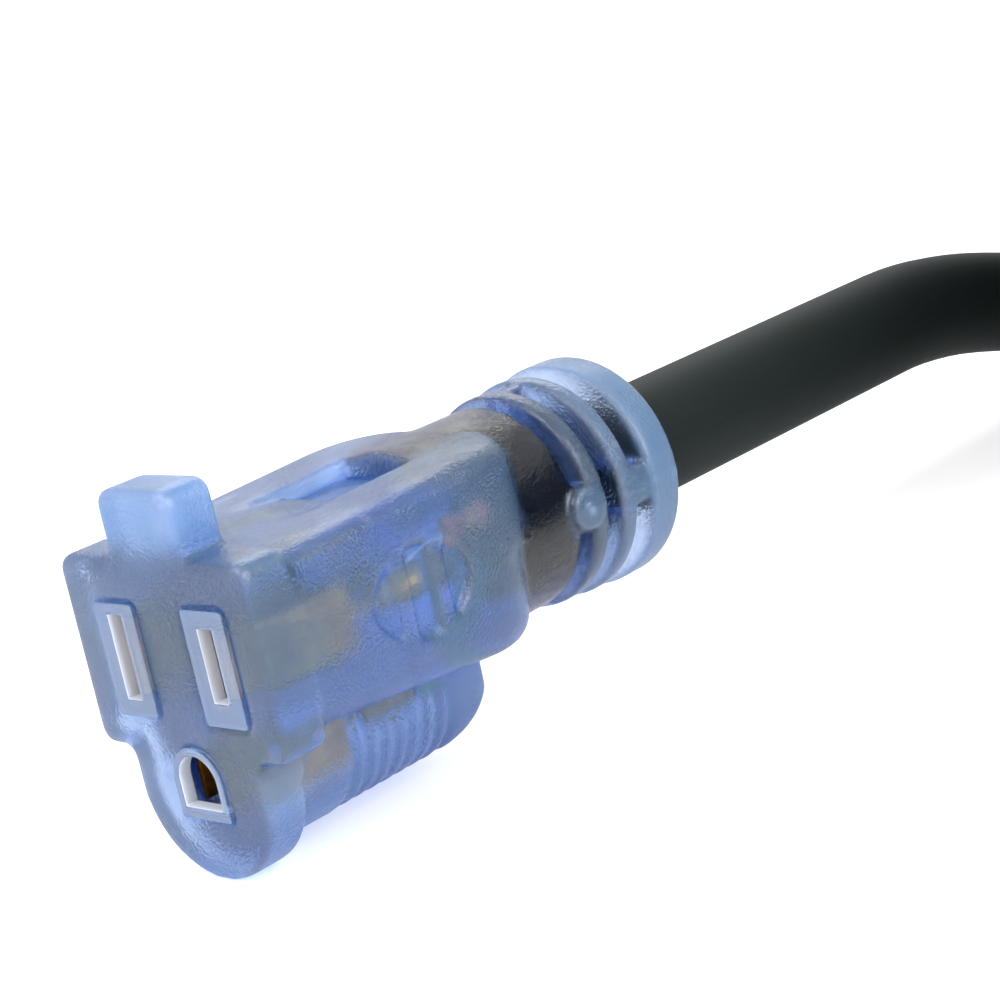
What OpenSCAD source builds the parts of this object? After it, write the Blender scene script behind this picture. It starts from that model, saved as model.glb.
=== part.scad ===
// Moulded 15 A shore power cord: lighted-end connector, cord put away as a tied coil, and its plug.
// The connector stands on its ground lobe, its socket face looks along -Y and the cord leaves along +Y.
// Connector shapes are drawn in the face frame: x across, y into the body from the socket face,
// z up from the line through the two blade slots.

/* [Socket face] */
// Distance between the centres of the two blade slots
blade_pitch = 12.7; // [12.6:0.05:12.8]
// Distance of the ground hole below the blade line
ground_drop = 11.9; // [11.8:0.05:12]
// Thickness of a blade slot
slot_w = 2; // [1.9:0.05:2.2]
// Height of the wide neutral slot
neutral_slot_h = 8.4; // [8.1:0.1:8.6]
// Height of the hot slot
hot_slot_h = 7.1; // [6.8:0.1:7.4]
// Width of the arched ground hole
ground_hole_w = 5.2; // [5.1:0.1:5.6]

/* [Front flange] */
// Width of the flange
flange_w = 26.6; // [26:0.1:28]
// Top of the flange above the blade line
flange_top = 9.8; // [9.4:0.1:10.4]
// Bottom of the flange below the blade line
flange_bottom = 9.3; // [9:0.1:9.6]
// Depth of the flange and its tab
flange_d = 5.6; // [5:0.1:6.5]
// Corner radius of the flange
flange_r = 1.8; // [1:0.1:2.4]
// Width of the finger tab on top
tab_w = 10.4; // [9.6:0.1:12]
// Top of the finger tab above the blade line
tab_top = 16.3; // [14:0.1:18]
// Radius of the flange's ground lobe
lobe_flange_r = 9.1; // [8.8:0.1:9.4]
// Centre of the ground lobe below the blade line
lobe_drop = 12.7; // [12.4:0.1:13]

/* [Body] */
// Width of the body behind the flange
body_w = 25.8; // [25:0.1:26.4]
// Length from the face to the rounded rear of the body
body_l = 40.4; // [39.5:0.1:41.5]
// Top of the body where it leaves the flange
body_top = 9; // [8.8:0.1:9.3]
// Bottom of the body where it leaves the flange
body_bottom = 8.1; // [7.8:0.1:8.6]
// Rise of the body's top towards the cord, in degrees
top_rise = 2; // [0:0.25:3]
// Drop of the body's bottom towards the cord, in degrees
bottom_drop = 5; // [2:0.25:6]
// Radius of the body's rear corners, seen from above
body_rear_r = 9; // [7:0.25:10]
// Radius of the body's long edges
body_edge_r = 2.4; // [1.5:0.1:3]
// Radius of the ground lobe behind the flange
lobe_r = 7.6; // [7.4:0.1:8]
// Length from the face to the rounded end of the ground lobe
lobe_l = 31.6; // [30:0.25:34]
// Number of grooves round the ground lobe
lobe_grooves = 8; // [4:1:9]
// Distance between the grooves of the lobe
lobe_groove_pitch = 1.88; // [1.6:0.02:2]
// Width of the recess along the top
recess_w = 9.4; // [8:0.1:11]
// Distance from the face to the recess's ribbed rear wall
recess_l = 29.7; // [28:0.1:31]
// Length of the oval finger grip on each side
grip_l = 12.6; // [11:0.1:13.5]
// Height of the oval finger grip
grip_h = 8.8; // [7:0.1:10]
// Depth of the finger grip
grip_depth = 0.5; // [0.3:0.05:0.8]

/* [Strain relief] */
// Length from the face to the end of the strain relief
connector_l = 60.4; // [60:0.1:61]
// Radius of the neck
neck_r = 11; // [10.6:0.1:11.4]
// Radius of the first ring
ring1_r = 11.65; // [11.5:0.05:11.9]
// Radius of the second ring
ring2_r = 12; // [11.9:0.05:12.2]
// Radius of the end collar
collar_r = 12.35; // [12.2:0.05:12.6]
// Radius of the solid sleeve under the relief slots
relief_core_r = 7.7; // [7.4:0.1:8.4]
// Diameter of the gate boss on the parting line
gate_d = 4.8; // [4:0.1:5.4]

/* [Cord] */
// Outer diameter of the cord
cord_d = 13; // [12.8:0.1:13.4]
// Diameter of each insulated core in the cord
core_d = 3.5; // [3.3:0.05:3.6]
// Diameter of each copper conductor
copper_d = 1.9; // [1.7:0.05:2]
// Distance from turn to turn in the coil
turn_pitch = 13.8; // [13.8:0.1:14]
// Mean radius of the coil's outermost turn
coil_r = 94; // [91:0.5:96]
// Turns wound in each layer of the coil
layer_turns = 2.5; // [2.4:0.05:2.55]
// Width of each strap round the coil
strap_w = 20; // [14:1:25]
// Thickness of each strap
strap_t = 1.2; // [1:0.1:1.4]

/* [Plug] */
// Width of the plug's body
plug_w = 26; // [25:0.1:28]
// Length of the plug's body
plug_body_l = 34; // [32:0.5:37]
// Length from the plug's face to the end of its strain relief
plug_l = 58; // [56:0.5:60]
// Length of the blades beyond the face
blade_l = 16.5; // [15.9:0.1:18.2]
// Height of each blade
blade_h = 6.35; // [6.2:0.05:6.5]
// Thickness of each blade
blade_t = 1.5; // [1.4:0.05:1.6]
// Diameter of the round ground pin
pin_d = 4.8; // [4.7:0.05:4.85]
// Length of the ground pin beyond the face
pin_l = 19.6; // [19:0.1:21]

/* [Fits] */
// Clearance round pieces that the moulding holds
fit = 0.05; // [0.03:0.01:0.08]
// Clearance between the straps and the turns they hold
strap_gap = 0.5; // [0.4:0.05:0.6]

/* [Hidden] */
$fn = 96;
tiny = 0.01;
// Size of a cutting block that passes every face it meets
reach = 80;

// Cord axis, a little below the blade line, and the height at which the face frame stands
axis_z = -0.5;
stand_h = lobe_drop + lobe_flange_r;
parting_z = -0.7;
parting_step = 0.04;
lower_set = 0.8;
cord_r = cord_d / 2;
core_r = core_d / 2;

// Contact sleeves, flush with the socket face
sleeve_w = 5.8;
sleeve_top = 5.35;
sleeve_bottom = 5.9;
sleeve_l = 17;
sleeve_wall = 0.9;
sleeve_front = 1.4;
arch_r = 3.95;
arch_bottom = 3.75;
hole_bottom = ground_hole_w / 2;

// Brass contacts: leaves, then a neck, then the crimp barrel
leaf_t = 0.5;
leaf_gap = 1.25;
leaf_y = 2.4;
leaf_l = 11.6;
neck_w = 2.4;
barrel_y = 18.2;
barrel_l = 5.8;
barrel_d = 3.4;
barrel_bore = copper_d + 0.2;

// The inner mould holds the crimps and wires between the sleeves and the cord's end
inner_y = sleeve_l;
inner_l = 18;
inner_end = inner_y + inner_l;
inner_w = 19;
inner_top = 7.6;
inner_bottom = 5.4;
stem_w = 7.4;
stem_bottom = ground_drop + 3.4;
stem_turn_y = 27.5;
stem_rise = 5.9;

// Lay of the three cores in the cord
lay_r = 2.4;
core_seat = 5;
core_lay = [158, 38, 278];
core_seats = [for (a = core_lay) [lay_r * cos(a), axis_z + lay_r * sin(a)]];
wire_y = barrel_y + barrel_l;

// Strain relief stations along y: slot A, ring 1, slot B, ring 2, slot C, collar
slot_a = [45.7, 46.8];
slot_b = [49.4, 51.1];
slot_c = [53.6, 55.6];
web_side = 4.2;
web_top = 2.6;

// Plug frame: its face looks along -y, the same way as the connector's, and it lies on its top
plug_top = 10.8;
plug_drop = 9.2;
plug_lobe_r = 8.4;
plug_lobe_drop = 11.5;
plug_collar_r = 10.6;
plug_neck_r = 9.4;
bridge_w = 20;
bridge_top = 6.4;
bridge_l = 15;
bridge_proud = 0.6;
pin_step = 0.25;

// Places in the part's frame
coil_x = coil_r;
coil_y = coil_r + 72;
strap_lift = strap_t + strap_gap;
coil_z = strap_lift + cord_r;
coil_in_r = coil_r - layer_turns * turn_pitch;
reversal_bulge = 2.6;
layers = 5;
tail_r = coil_in_r + 11.5;
lead_straight = 8;
tail_straight = 4;
plug_x = coil_x + tail_r;
plug_y = coil_y - 12;
plug_z = coil_z + (layers - 1) * turn_pitch + cord_r + plug_top + 0.3;

// Free route of the cord from the strain relief to the coil, as centre points: level, then down in a long slope
function ease(t) = t * t * (3 - 2 * t);
slope_y = coil_y - 79;
slope_l = 79 - lead_straight;
slope_steps = 10;
lead_z = stand_h + axis_z;
lead_route = [
    for (y = [connector_l / 2, (connector_l / 2 + slope_y) / 2]) [0, y, lead_z],
    for (i = [0 : slope_steps])
        [0, slope_y + slope_l * i / slope_steps, lead_z + (coil_z - lead_z) * ease(i / slope_steps)]
];

// ---------------------------------------------------------------- shared helpers

// Puts the face frame on the floor, centred on the connector
module stand() translate([0, -connector_l / 2, stand_h]) children();

// Extrudes an x-z outline along y
module extrude_y(y0, y1) translate([0, y1, 0]) rotate([90, 0, 0]) linear_extrude(y1 - y0) children();

// Turns an r-y profile round the cord's axis
module revolve_y() translate([0, 0, axis_z]) rotate([-90, 0, 0]) rotate_extrude() children();

module rod_y(x, z, r, y0, y1) translate([x, y0, z]) rotate([-90, 0, 0]) cylinder(r = r, h = y1 - y0);

// Rectangle with its four corners rounded
module rounded(x0, x1, y0, y1, r) {
    translate([x0 + r, y0]) square([x1 - x0 - 2 * r, y1 - y0]);
    translate([x0, y0 + r]) square([x1 - x0, y1 - y0 - 2 * r]);
    for (x = [x0 + r, x1 - r])
        for (y = [y0 + r, y1 - r])
            translate([x, y]) circle(r);
}

// A straight wire from one point to another
module wire(a, b, r) {
    reach = norm(b - a);
    translate(a) rotate([0, acos((b - a)[2] / reach), atan2((b - a)[1], (b - a)[0])])
        cylinder(r = r, h = reach, $fn = 32);
}

// An insulated core from a crimp to its seat in the cord's end, with a round elbow at each bend
module core_run(from, to, y0, y1, y2, r) {
    points = [
        [from[0], y0, from[1]], [from[0], y0 + 2.8, from[1]], [to[0], y1 - 1, to[1]], [to[0], y2, to[1]]
    ];
    for (i = [0 : 2]) wire(points[i], points[i + 1], r);
    for (i = [1, 2]) translate(points[i]) rotate([37, 11, 71]) sphere(1.1 * r, $fn = 32);
}

// ---------------------------------------------------------------- swept cord

function unit(v) = v / norm(v);
function tangent(p, i) = unit(p[min(i + 1, len(p) - 1)] - p[max(i - 1, 0)]);
function side(t) = unit(cross(t, [0, 0, 1]));
function ring(c, t, r, n) = [
    for (k = [0 : n - 1])
        let (a = 360 * (k + 0.5) / n, s = side(t), u = cross(s, t))
            c + r * (s * cos(a) + u * sin(a))
];

// One closed tube along the points, its end rings square to the given end directions
module tube(points, r, n, first_dir, last_dir) {
    last = len(points) - 1;
    rings = [
        for (i = [0 : last])
            ring(points[i], i == 0 ? first_dir : (i == last ? last_dir : tangent(points, i)), r, n)
    ];
    verts = [for (one = rings) each one];
    walls = [
        for (i = [0 : last - 1])
            for (k = [0 : n - 1])
                let (a = i * n + k, b = i * n + (k + 1) % n)
                    each [[a, b, b + n], [a, b + n, a + n]]
    ];
    caps = [[for (k = [0 : n - 1]) n - 1 - k], [for (k = [0 : n - 1]) last * n + k]];
    polyhedron(verts, concat(walls, caps), convexity = 10);
}

// The coil: layers of turns, in and out again, each reversal climbing a layer in half a turn
rings_per_turn = 24;
layer_span = layer_turns + 0.5;
wound_turns = layers * layer_turns + (layers - 1) * 0.5;
tail_turns = ceil(wound_turns + 0.25) + 0.5 - wound_turns;
function coil_point(turns) =
    let (
        layer = min(floor(turns / layer_span), layers - 1),
        t = turns - layer * layer_span,
        wound = min(t / layer_turns, 1),
        climb = max(0, (t - layer_turns) / 0.5),
        inward = layer % 2 == 0,
        r0 = inward ? coil_r - (coil_r - coil_in_r) * wound : coil_in_r + (coil_r - coil_in_r) * wound,
        r = r0 + (inward ? -1 : 1) * reversal_bulge * sin(180 * climb),
        a = 180 - 360 * turns
    )
        [coil_x + r * cos(a), coil_y + r * sin(a), coil_z + turn_pitch * (layer + ease(climb))];

// The last turn climbs onto the top layer and drifts out to the line of the plug, which lies there
function tail_point(turns) =
    let (
        a = 180 - 360 * (wound_turns + turns),
        climb = min(1, turns / 0.5),
        drift = ease(max(0, (turns - 0.5) / (tail_turns - 0.5))),
        r = coil_in_r - reversal_bulge * sin(180 * climb) + (tail_r - coil_in_r) * drift,
        z = coil_z + turn_pitch * (layers - 1 + ease(climb))
    )
        [coil_x + r * cos(a), coil_y + r * sin(a), z + (plug_z - z) * drift];
tail_steps = round(tail_turns * rings_per_turn);
coil_steps = round(wound_turns * rings_per_turn);
coil_route = [
    [0, coil_y - lead_straight, coil_z],
    for (i = [0 : coil_steps]) coil_point(i * wound_turns / coil_steps),
    for (i = [1 : tail_steps]) tail_point(i * tail_turns / tail_steps),
    [plug_x, coil_y - tail_straight, plug_z]
];

// Least distance between turns, less the diameter, measured on the coil's own points
function turn_gaps(p) = [
    for (i = [0 : 3 : len(p) - 1])
        for (j = [i + 12 : len(p) - 1])
            norm(p[i] - p[j]) - cord_d
];
echo(least_coil_gap = min(turn_gaps(coil_route)));  // cord_coil
function route_length(p) = len(p) < 2 ? 0 : sum([for (i = [1 : len(p) - 1]) norm(p[i] - p[i - 1])]);
function sum(v, i = 0) = i == len(v) ? 0 : v[i] + sum(v, i + 1);
echo(lengths = [route_length(lead_route), route_length(coil_route)]);

// ---------------------------------------------------------------- connector shell

module lobe_outline(r) {
    translate([0, -lobe_drop]) circle(r);
    translate([-r, -lobe_drop]) square([2 * r, lobe_drop]);
}

// Outline of the socket face: rounded rectangle, finger tab and ground lobe, with filleted steps
module face_outline() {
    fillet_r = 0.9;
    rounded(-flange_w / 2, flange_w / 2, -flange_bottom, flange_top, flange_r);
    rounded(-tab_w / 2, tab_w / 2, 0, tab_top, flange_r);
    lobe_outline(lobe_flange_r);
    for (s = [-1, 1]) {
        translate([s * tab_w / 2, flange_top]) corner_fillet(fillet_r, s, 1);
        translate([s * lobe_flange_r, -flange_bottom]) corner_fillet(fillet_r, s, -1);
    }
}

// Fills an inside corner that opens towards (sx, sy)
module corner_fillet(r, sx, sy) difference() {
    translate([min(0, sx * r) - tiny, min(0, sy * r) - tiny]) square(r + 2 * tiny);
    translate([sx * r, sy * r]) circle(r);
}

// Side outline of one half: an edge of radius r at the top, reaching back to x1
module half_outline(x0, x1, z0, z1, r) {
    translate([x0, z0]) square([x1 - x0, z1 - z0 - r]);
    translate([x0, z0]) square([x1 - x0 - r, z1 - z0]);
    translate([x1 - r, z1 - r]) circle(r);
}

// Half of the body: prisms along and across, joined by round corners, with one rounded top edge
module body_half(half_w, h, r, inner) {
    rear_y = body_l - flange_d - body_rear_r;
    flat_x = half_w - body_rear_r;
    extrude_y(-flange_d / 2, rear_y) for (s = [0, 1]) mirror([s, 0]) half_outline(-tiny, half_w, inner, h, r);
    translate([-flat_x, rear_y, 0]) rotate([90, 0, 90]) linear_extrude(2 * flat_x)
        half_outline(-tiny, body_rear_r, inner, h, r);
    for (s = [-1, 1]) translate([s * flat_x, rear_y, 0])
        rotate_extrude() half_outline(0, body_rear_r, inner, h, r);
}

// The mould's two halves meet on the parting plane, where the lower one is a hair narrower
module body_block() intersection() {
    union() {
        intersection() {
            translate([0, flange_d, 0]) rotate([top_rise, 0, 0])
                body_half(body_w / 2, body_top, body_edge_r, -6);
            translate([-reach / 2, -1, parting_z]) cube(reach);
        }
        translate([0, flange_d - lower_set, 0]) rotate([-bottom_drop, 0, 0]) mirror([0, 0, 1])
            body_half(body_w / 2 - parting_step, body_bottom, body_edge_r + 1, -3);
    }
    rotate([90, 0, 90]) linear_extrude(reach, center = true)
        rounded(-8, body_l, -11.2, 16, 8);
}

// Ground lobe behind the flange, rounded off at its end
module lobe_block() intersection() {
    extrude_y(0, lobe_l) lobe_outline(lobe_r);
    rotate([90, 0, 90]) linear_extrude(reach, center = true)
        rounded(-9, lobe_l, -lobe_drop - lobe_r, 9, 8.4);
    linear_extrude(reach, center = true) rounded(-lobe_r, lobe_r, -4, lobe_l, 1.4);
}

module relief_ring(r, y0, y1) revolve_y() {
    bevel = 0.3;
    polygon([[0, y0], [r - bevel, y0], [r, y0 + bevel], [r, y1 - bevel], [r - bevel, y1], [0, y1]]);
}

// Neck, two rings and the end collar, each wider than the one before
module relief_body() {
    relief_ring(neck_r, body_l / 2, slot_a[1]);
    relief_ring(ring1_r, slot_a[1], slot_b[1]);
    relief_ring(ring2_r, slot_b[1], slot_c[1]);
    collar_round = 1;
    revolve_y() intersection() {
        rounded(-collar_r, collar_r, slot_c[1] - collar_round, connector_l, collar_round);
        translate([0, slot_c[1]]) square([collar_r, connector_l]);
    }
    rod_y(0, axis_z, relief_core_r, body_l, connector_l);
}

// A slot cut round the relief, bridged by two webs
module relief_slot(span, r, web, webs_on_sides) difference() {
    revolve_y() translate([relief_core_r, span[0]]) square([r, span[1] - span[0]]);
    translate([0, (span[0] + span[1]) / 2, axis_z])
        cube(webs_on_sides ? [4 * r, 4, web] : [web, 4, 4 * r], center = true);
}

// Round boss where the moulding was fed, on the parting line
module gate_boss() translate([relief_core_r, slot_a[1] - 0.5, axis_z]) rotate([0, 90, 0]) {
    boss_h = ring1_r + 0.55 - relief_core_r;
    difference() {
        cylinder(d = gate_d, h = boss_h);
        translate([0, 0, boss_h - 0.35]) difference() {
            cylinder(d = gate_d - 1.2, h = 1);
            cylinder(d = 1.6, h = 1);
        }
    }
}

// Wedge recess along the top, deepest at its ribbed rear wall
module top_recess() {
    start_y = 12.6;
    start_z = body_top + (start_y - flange_d) * tan(top_rise) + 0.02;
    floor_z = 8;
    rib_r = 0.3;
    difference() {
        rotate([90, 0, 90]) linear_extrude(recess_w, center = true)
            polygon([[start_y, start_z], [recess_l, floor_z], [recess_l, 14], [start_y, 14]]);
        for (x = [-recess_w / 2 + 0.7 : 1 : recess_w / 2 - 0.6])
            translate([x, recess_l, floor_z - 1]) cylinder(r = rib_r, h = 8, $fn = 24);
    }
}

// Oval finger grip with two upright bars left standing
module side_grip() {
    grip_y = 20.75;
    bar_w = 2.3;
    bar_pitch = 4.9;
    difference() {
        translate([body_w / 2 - grip_depth, grip_y, 0]) rotate([0, 90, 0])
            linear_extrude(4) oval(grip_h, grip_l);
        for (s = [-1, 1])
            translate([body_w / 2 - 2, grip_y + s * bar_pitch / 2 - bar_w / 2, -grip_h])
                cube([2.001, bar_w, 2 * grip_h]);
    }
}

// Oval made of two round ends and two shallow arcs
module oval(h, l) intersection() {
    end_r = h * 0.42;
    flank_r = (l * l + h * h) / (4 * h) * 1.02;
    rounded(-h / 2, h / 2, -l / 2, l / 2, end_r);
    translate([h / 2 - flank_r, 0]) circle(flank_r);
    translate([flank_r - h / 2, 0]) circle(flank_r);
}

module lobe_groove_cuts() for (i = [0 : lobe_grooves - 1])
    translate([0, 12.4 + i * lobe_groove_pitch, -lobe_drop]) rotate([-90, 0, 0]) difference() {
        cylinder(r = lobe_r + 1, h = 0.6);
        translate([0, 0, -1]) cylinder(r = lobe_r - 0.45, h = 3);
    }

module connector_shell() stand() color([0.45, 0.62, 0.92, 0.6]) difference() {
    union() {
        extrude_y(0, flange_d) difference() {
            face_outline();
            translate([-reach / 2, -reach]) square([reach, reach - lobe_drop]);
        }
        extrude_y(0, flange_d - 0.6) intersection() {
            lobe_outline(lobe_flange_r);
            translate([-reach / 2, -reach]) square([reach, reach - lobe_drop + tiny]);
        }
        body_block();
        lobe_block();
        relief_body();
        gate_boss();
    }
    difference() {
        relief_slot(slot_a, ring1_r, web_side, true);
        gate_boss();
    }
    relief_slot(slot_b, ring2_r, web_top, false);
    relief_slot(slot_c, collar_r, web_side, true);
    top_recess();
    side_grip();
    mirror([1, 0, 0]) side_grip();
    lobe_groove_cuts();
    for (s = [-1, 1]) translate([s * blade_pitch / 2, 0, 0]) blade_sleeve_block(fit);
    ground_sleeve_block(fit);
    inner_block(fit);
    rod_y(0, axis_z, cord_r + fit, inner_end, connector_l + 1);
}

// ---------------------------------------------------------------- inside the connector

module blade_sleeve_block(gap) extrude_y(-1, sleeve_l)
    rounded(-sleeve_w / 2 - gap, sleeve_w / 2 + gap, -sleeve_bottom - gap, sleeve_top + gap, 0.5);

module arch(r, down) {
    circle(r);
    translate([-r, -down]) square([2 * r, down]);
}

module ground_sleeve_block(gap) extrude_y(-1, sleeve_l)
    translate([0, -ground_drop]) arch(arch_r + gap - 0.45, arch_bottom + gap);

// Clear sleeve over a blade contact: slotted front wall, hollow behind, open to the rear
module blade_sleeve(slot_h) difference() {
    intersection() {
        blade_sleeve_block(0);
        translate([-20, 0, -40]) cube([40, sleeve_l, 80]);
    }
    extrude_y(-1, sleeve_l) square([slot_w, slot_h], center = true);
    extrude_y(sleeve_front, sleeve_l + 1)
        rounded(-sleeve_w / 2 + sleeve_wall, sleeve_w / 2 - sleeve_wall,
            -sleeve_bottom + sleeve_wall, sleeve_top - sleeve_wall, 0.4);
}

module neutral_sleeve() stand() color([0.8, 0.84, 0.84, 0.6])
    translate([-blade_pitch / 2, 0, 0]) blade_sleeve(neutral_slot_h);

module hot_sleeve() stand() color([0.8, 0.84, 0.84, 0.6])
    translate([blade_pitch / 2, 0, 0]) blade_sleeve(hot_slot_h);

module ground_sleeve() stand() color([0.8, 0.84, 0.84, 0.6]) difference() {
    intersection() {
        ground_sleeve_block(0);
        translate([-20, 0, -40]) cube([40, sleeve_l, 80]);
    }
    extrude_y(-1, sleeve_l + 1) translate([0, -ground_drop]) arch(ground_hole_w / 2, hole_bottom);
    extrude_y(sleeve_front, sleeve_l + 1) translate([0, -ground_drop]) arch(3.05, 3.05);
}

module crimp_barrel() difference() {
    rod_y(0, 0, barrel_d / 2, barrel_y, barrel_y + barrel_l);
    rod_y(0, 0, barrel_bore / 2, barrel_y - 1, barrel_y + barrel_l + 1);
}

// Folded brass contact: two sprung leaves with flared mouths, a cross web, a neck and a crimp
module blade_contact(h) {
    back = leaf_y + leaf_l;
    for (s = [-1, 1]) {
        translate([s * (leaf_gap + leaf_t) / 2 - leaf_t / 2, leaf_y, -h / 2]) cube([leaf_t, leaf_l, h]);
        translate([s * (leaf_gap + leaf_t) / 2, leaf_y, -h / 2]) rotate([0, 0, s * 35])
            translate([-leaf_t / 2, -0.8, 0]) cube([leaf_t, 1, h]);
    }
    translate([-leaf_gap / 2 - leaf_t, back - leaf_t, -h / 2]) cube([leaf_gap + 2 * leaf_t, leaf_t, h]);
    translate([-neck_w / 2, back - leaf_t, -leaf_t / 2]) cube([neck_w, barrel_y - back + 1, leaf_t]);
    crimp_barrel();
}

module neutral_contact() stand() color("goldenrod")
    translate([-blade_pitch / 2, 0, 0]) blade_contact(7.2);

module hot_contact() stand() color("goldenrod")
    translate([blade_pitch / 2, 0, 0]) blade_contact(6.2);

// Ground contact: a roofed channel that grips the round pin from both sides
module ground_contact() stand() color("goldenrod") translate([0, 0, -ground_drop]) {
    inner = 2.42;
    back = leaf_y + leaf_l;
    for (s = [-1, 1])
        translate([s * (inner + leaf_t / 2) - leaf_t / 2, leaf_y, -2.9]) cube([leaf_t, leaf_l, 4.4]);
    translate([0, back, 0]) rotate([90, 0, 0]) linear_extrude(leaf_l) difference() {
        intersection() {
            circle(inner + leaf_t);
            translate([-5, 1.5 - tiny]) square([10, 5]);
        }
        circle(inner + 0.08);
    }
    translate([-inner - leaf_t, back - leaf_t, -2.9]) cube([2 * (inner + leaf_t), leaf_t, 4.4]);
    translate([-neck_w / 2, back - leaf_t, -leaf_t / 2]) cube([neck_w, barrel_y - back + 1, leaf_t]);
    crimp_barrel();
}

// The three insulated cores, from the crimps to their seats in the cord's end
crimp_at = [[-blade_pitch / 2, 0], [blade_pitch / 2, 0], [0, -ground_drop]];
module core_wire(i, gap) core_run(crimp_at[i], core_seats[i], wire_y - gap, inner_end, inner_end + core_seat, core_r + gap);

module neutral_wire() stand() color("whitesmoke") core_wire(0, 0);
module hot_wire() stand() color([0.12, 0.12, 0.13]) core_wire(1, 0);
module ground_wire() stand() color("seagreen") core_wire(2, 0);

module conductor_ends() stand() color("peru")
    for (at = crimp_at) rod_y(at[0], at[1], copper_d / 2, barrel_y + 0.4, wire_y);

// Pilot lamp across hot and neutral, with its series resistor
lamp_at = [0, 25.4, 5.2];
lamp_l = 7;
lamp_tip_r = 0.6;
lamp_r = 1.5;
resistor_at = [7.4, 27.4, 3.4];
resistor_l = 5.6;
resistor_r = 1.15;
lead_r = 0.25;
crimp_top = barrel_d / 2 + 0.3;
lamp_wires = [
    [[blade_pitch / 2, 21.6, crimp_top], resistor_at - [0, 0.12, 0]],
    [resistor_at + [0.6, resistor_l + lead_r + fit, -0.1], [-0.4, resistor_at[1] + resistor_l + lead_r + fit, lamp_at[2]]],
    [[-blade_pitch / 2, 21.6, crimp_top], lamp_at - [0.2, 0.25, 0]]
];

module lamp_body(gap) {
    translate(lamp_at) rotate([-90, 0, 0]) translate([0, 0, -gap]) cylinder(r = lamp_r + gap, h = lamp_l + 2 * gap);
    translate(lamp_at + [0, lamp_l, 0]) sphere(lamp_tip_r + gap);
}

module resistor_body(gap) translate(resistor_at) rotate([-90, 0, 0]) {
    translate([0, 0, -gap]) cylinder(r = resistor_r + gap, h = resistor_l + 2 * gap);
    for (z = [-gap, resistor_l - 1.4 - gap])
        translate([0, 0, z]) cylinder(r = resistor_r + 0.2 + gap, h = 1.4 + 2 * gap);
}

module pilot_lamp() stand() color("orange") lamp_body(0);
module lamp_resistor() stand() color("indianred") resistor_body(0);
module lamp_leads() stand() color("silver") for (w = lamp_wires) wire(w[0], w[1], lead_r);

// Block between the sleeves and the cord's end, with a stem that runs up from the ground contact
module inner_block(gap) {
    translate([-inner_w / 2 - gap, inner_y, -inner_bottom - gap])
        cube([inner_w + 2 * gap, inner_l, inner_top + inner_bottom + 2 * gap]);
    rotate([90, 0, 90]) linear_extrude(stem_w + 2 * gap, center = true) polygon([
        [inner_y, -stem_bottom - gap], [stem_turn_y + gap / 2, -stem_bottom - gap],
        [inner_end, -stem_rise - 1.6 * gap], [inner_end, 0], [inner_y, 0]
    ]);
}

module inner_mould() stand() color([0.75, 0.85, 0.95, 0.5]) difference() {
    inner_block(0);
    for (at = crimp_at) {
        rod_y(at[0], at[1], barrel_d / 2 + fit, barrel_y - fit, wire_y + fit);
        translate([at[0] - neck_w / 2 - fit, inner_y - 1, at[1] - leaf_t / 2 - fit])
            cube([neck_w + 2 * fit, barrel_y - inner_y + 2, leaf_t + 2 * fit]);
    }
    for (i = [0 : 2]) core_wire(i, fit);
    lamp_body(fit);
    resistor_body(fit);
    for (w = lamp_wires) wire(w[0], w[1], lead_r + fit);
}

// End of the cord inside the strain relief, with a seat for each core
module cord_end() stand() color([0.13, 0.14, 0.15]) difference() {
    rod_y(0, axis_z, cord_r, inner_end, connector_l);
    for (seat = core_seats)
        rod_y(seat[0], seat[1], core_r + fit, inner_end - 1, inner_end + core_seat + fit);
}

// ---------------------------------------------------------------- cord and coil

module cord_lead() color([0.13, 0.14, 0.15])
    tube(lead_route, cord_r, 12, [0, 1, 0], [0, 1, 0]);

module cord_coil() color([0.13, 0.14, 0.15])
    tube(coil_route, cord_r, 6, [0, 1, 0], [0, -1, 0]);

module cord_tail() color([0.13, 0.14, 0.15])
    translate([plug_x, plug_y, plug_z]) rotate([-90, 0, 0]) cylinder(r = cord_r, h = coil_y - tail_straight - plug_y);

// Centres of the turns that pass under the strap at angle a, in its radial plane: at mid width and at its edges
function strapped_turns(a) = [
    for (k = [0 : floor(wound_turns + tail_turns - (180 - a) / 360)])
        let (
            t = (180 - a) / 360 + k,
            p = t <= wound_turns ? coil_point(t) : tail_point(t - wound_turns),
            r = norm([p.x - coil_x, p.y - coil_y])
        )
        for (x = [r, sqrt(r * r - strap_w * strap_w / 4)]) [x, p.z]
];

module strap_line(a, r) hull() for (at = strapped_turns(a)) translate(at) circle(r);

// One flat strap drawn tight round the bundle of turns at angle a
module coil_strap(a) translate([coil_x, coil_y, 0]) rotate([0, 0, a]) rotate([90, 0, 0])
    linear_extrude(strap_w, center = true) difference() {
        strap_line(a, cord_r + strap_gap + strap_t);
        strap_line(a, cord_r + strap_gap);
    }

module coil_straps() color("dimgray") for (a = [20, 150]) coil_strap(a);

// ---------------------------------------------------------------- plug

// Puts the plug's frame in place: upside down, so that it lies on its flat top
module plug_place() translate([plug_x, plug_y - plug_l, plug_z]) rotate([0, 180, 0]) children();

module plug_outline(grow) {
    rounded(-plug_w / 2 - grow, plug_w / 2 + grow, -plug_drop - grow, plug_top, 3);
    translate([0, -plug_lobe_drop]) circle(plug_lobe_r + grow);
}

module plug_revolve() rotate([-90, 0, 0]) rotate_extrude() children();

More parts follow.
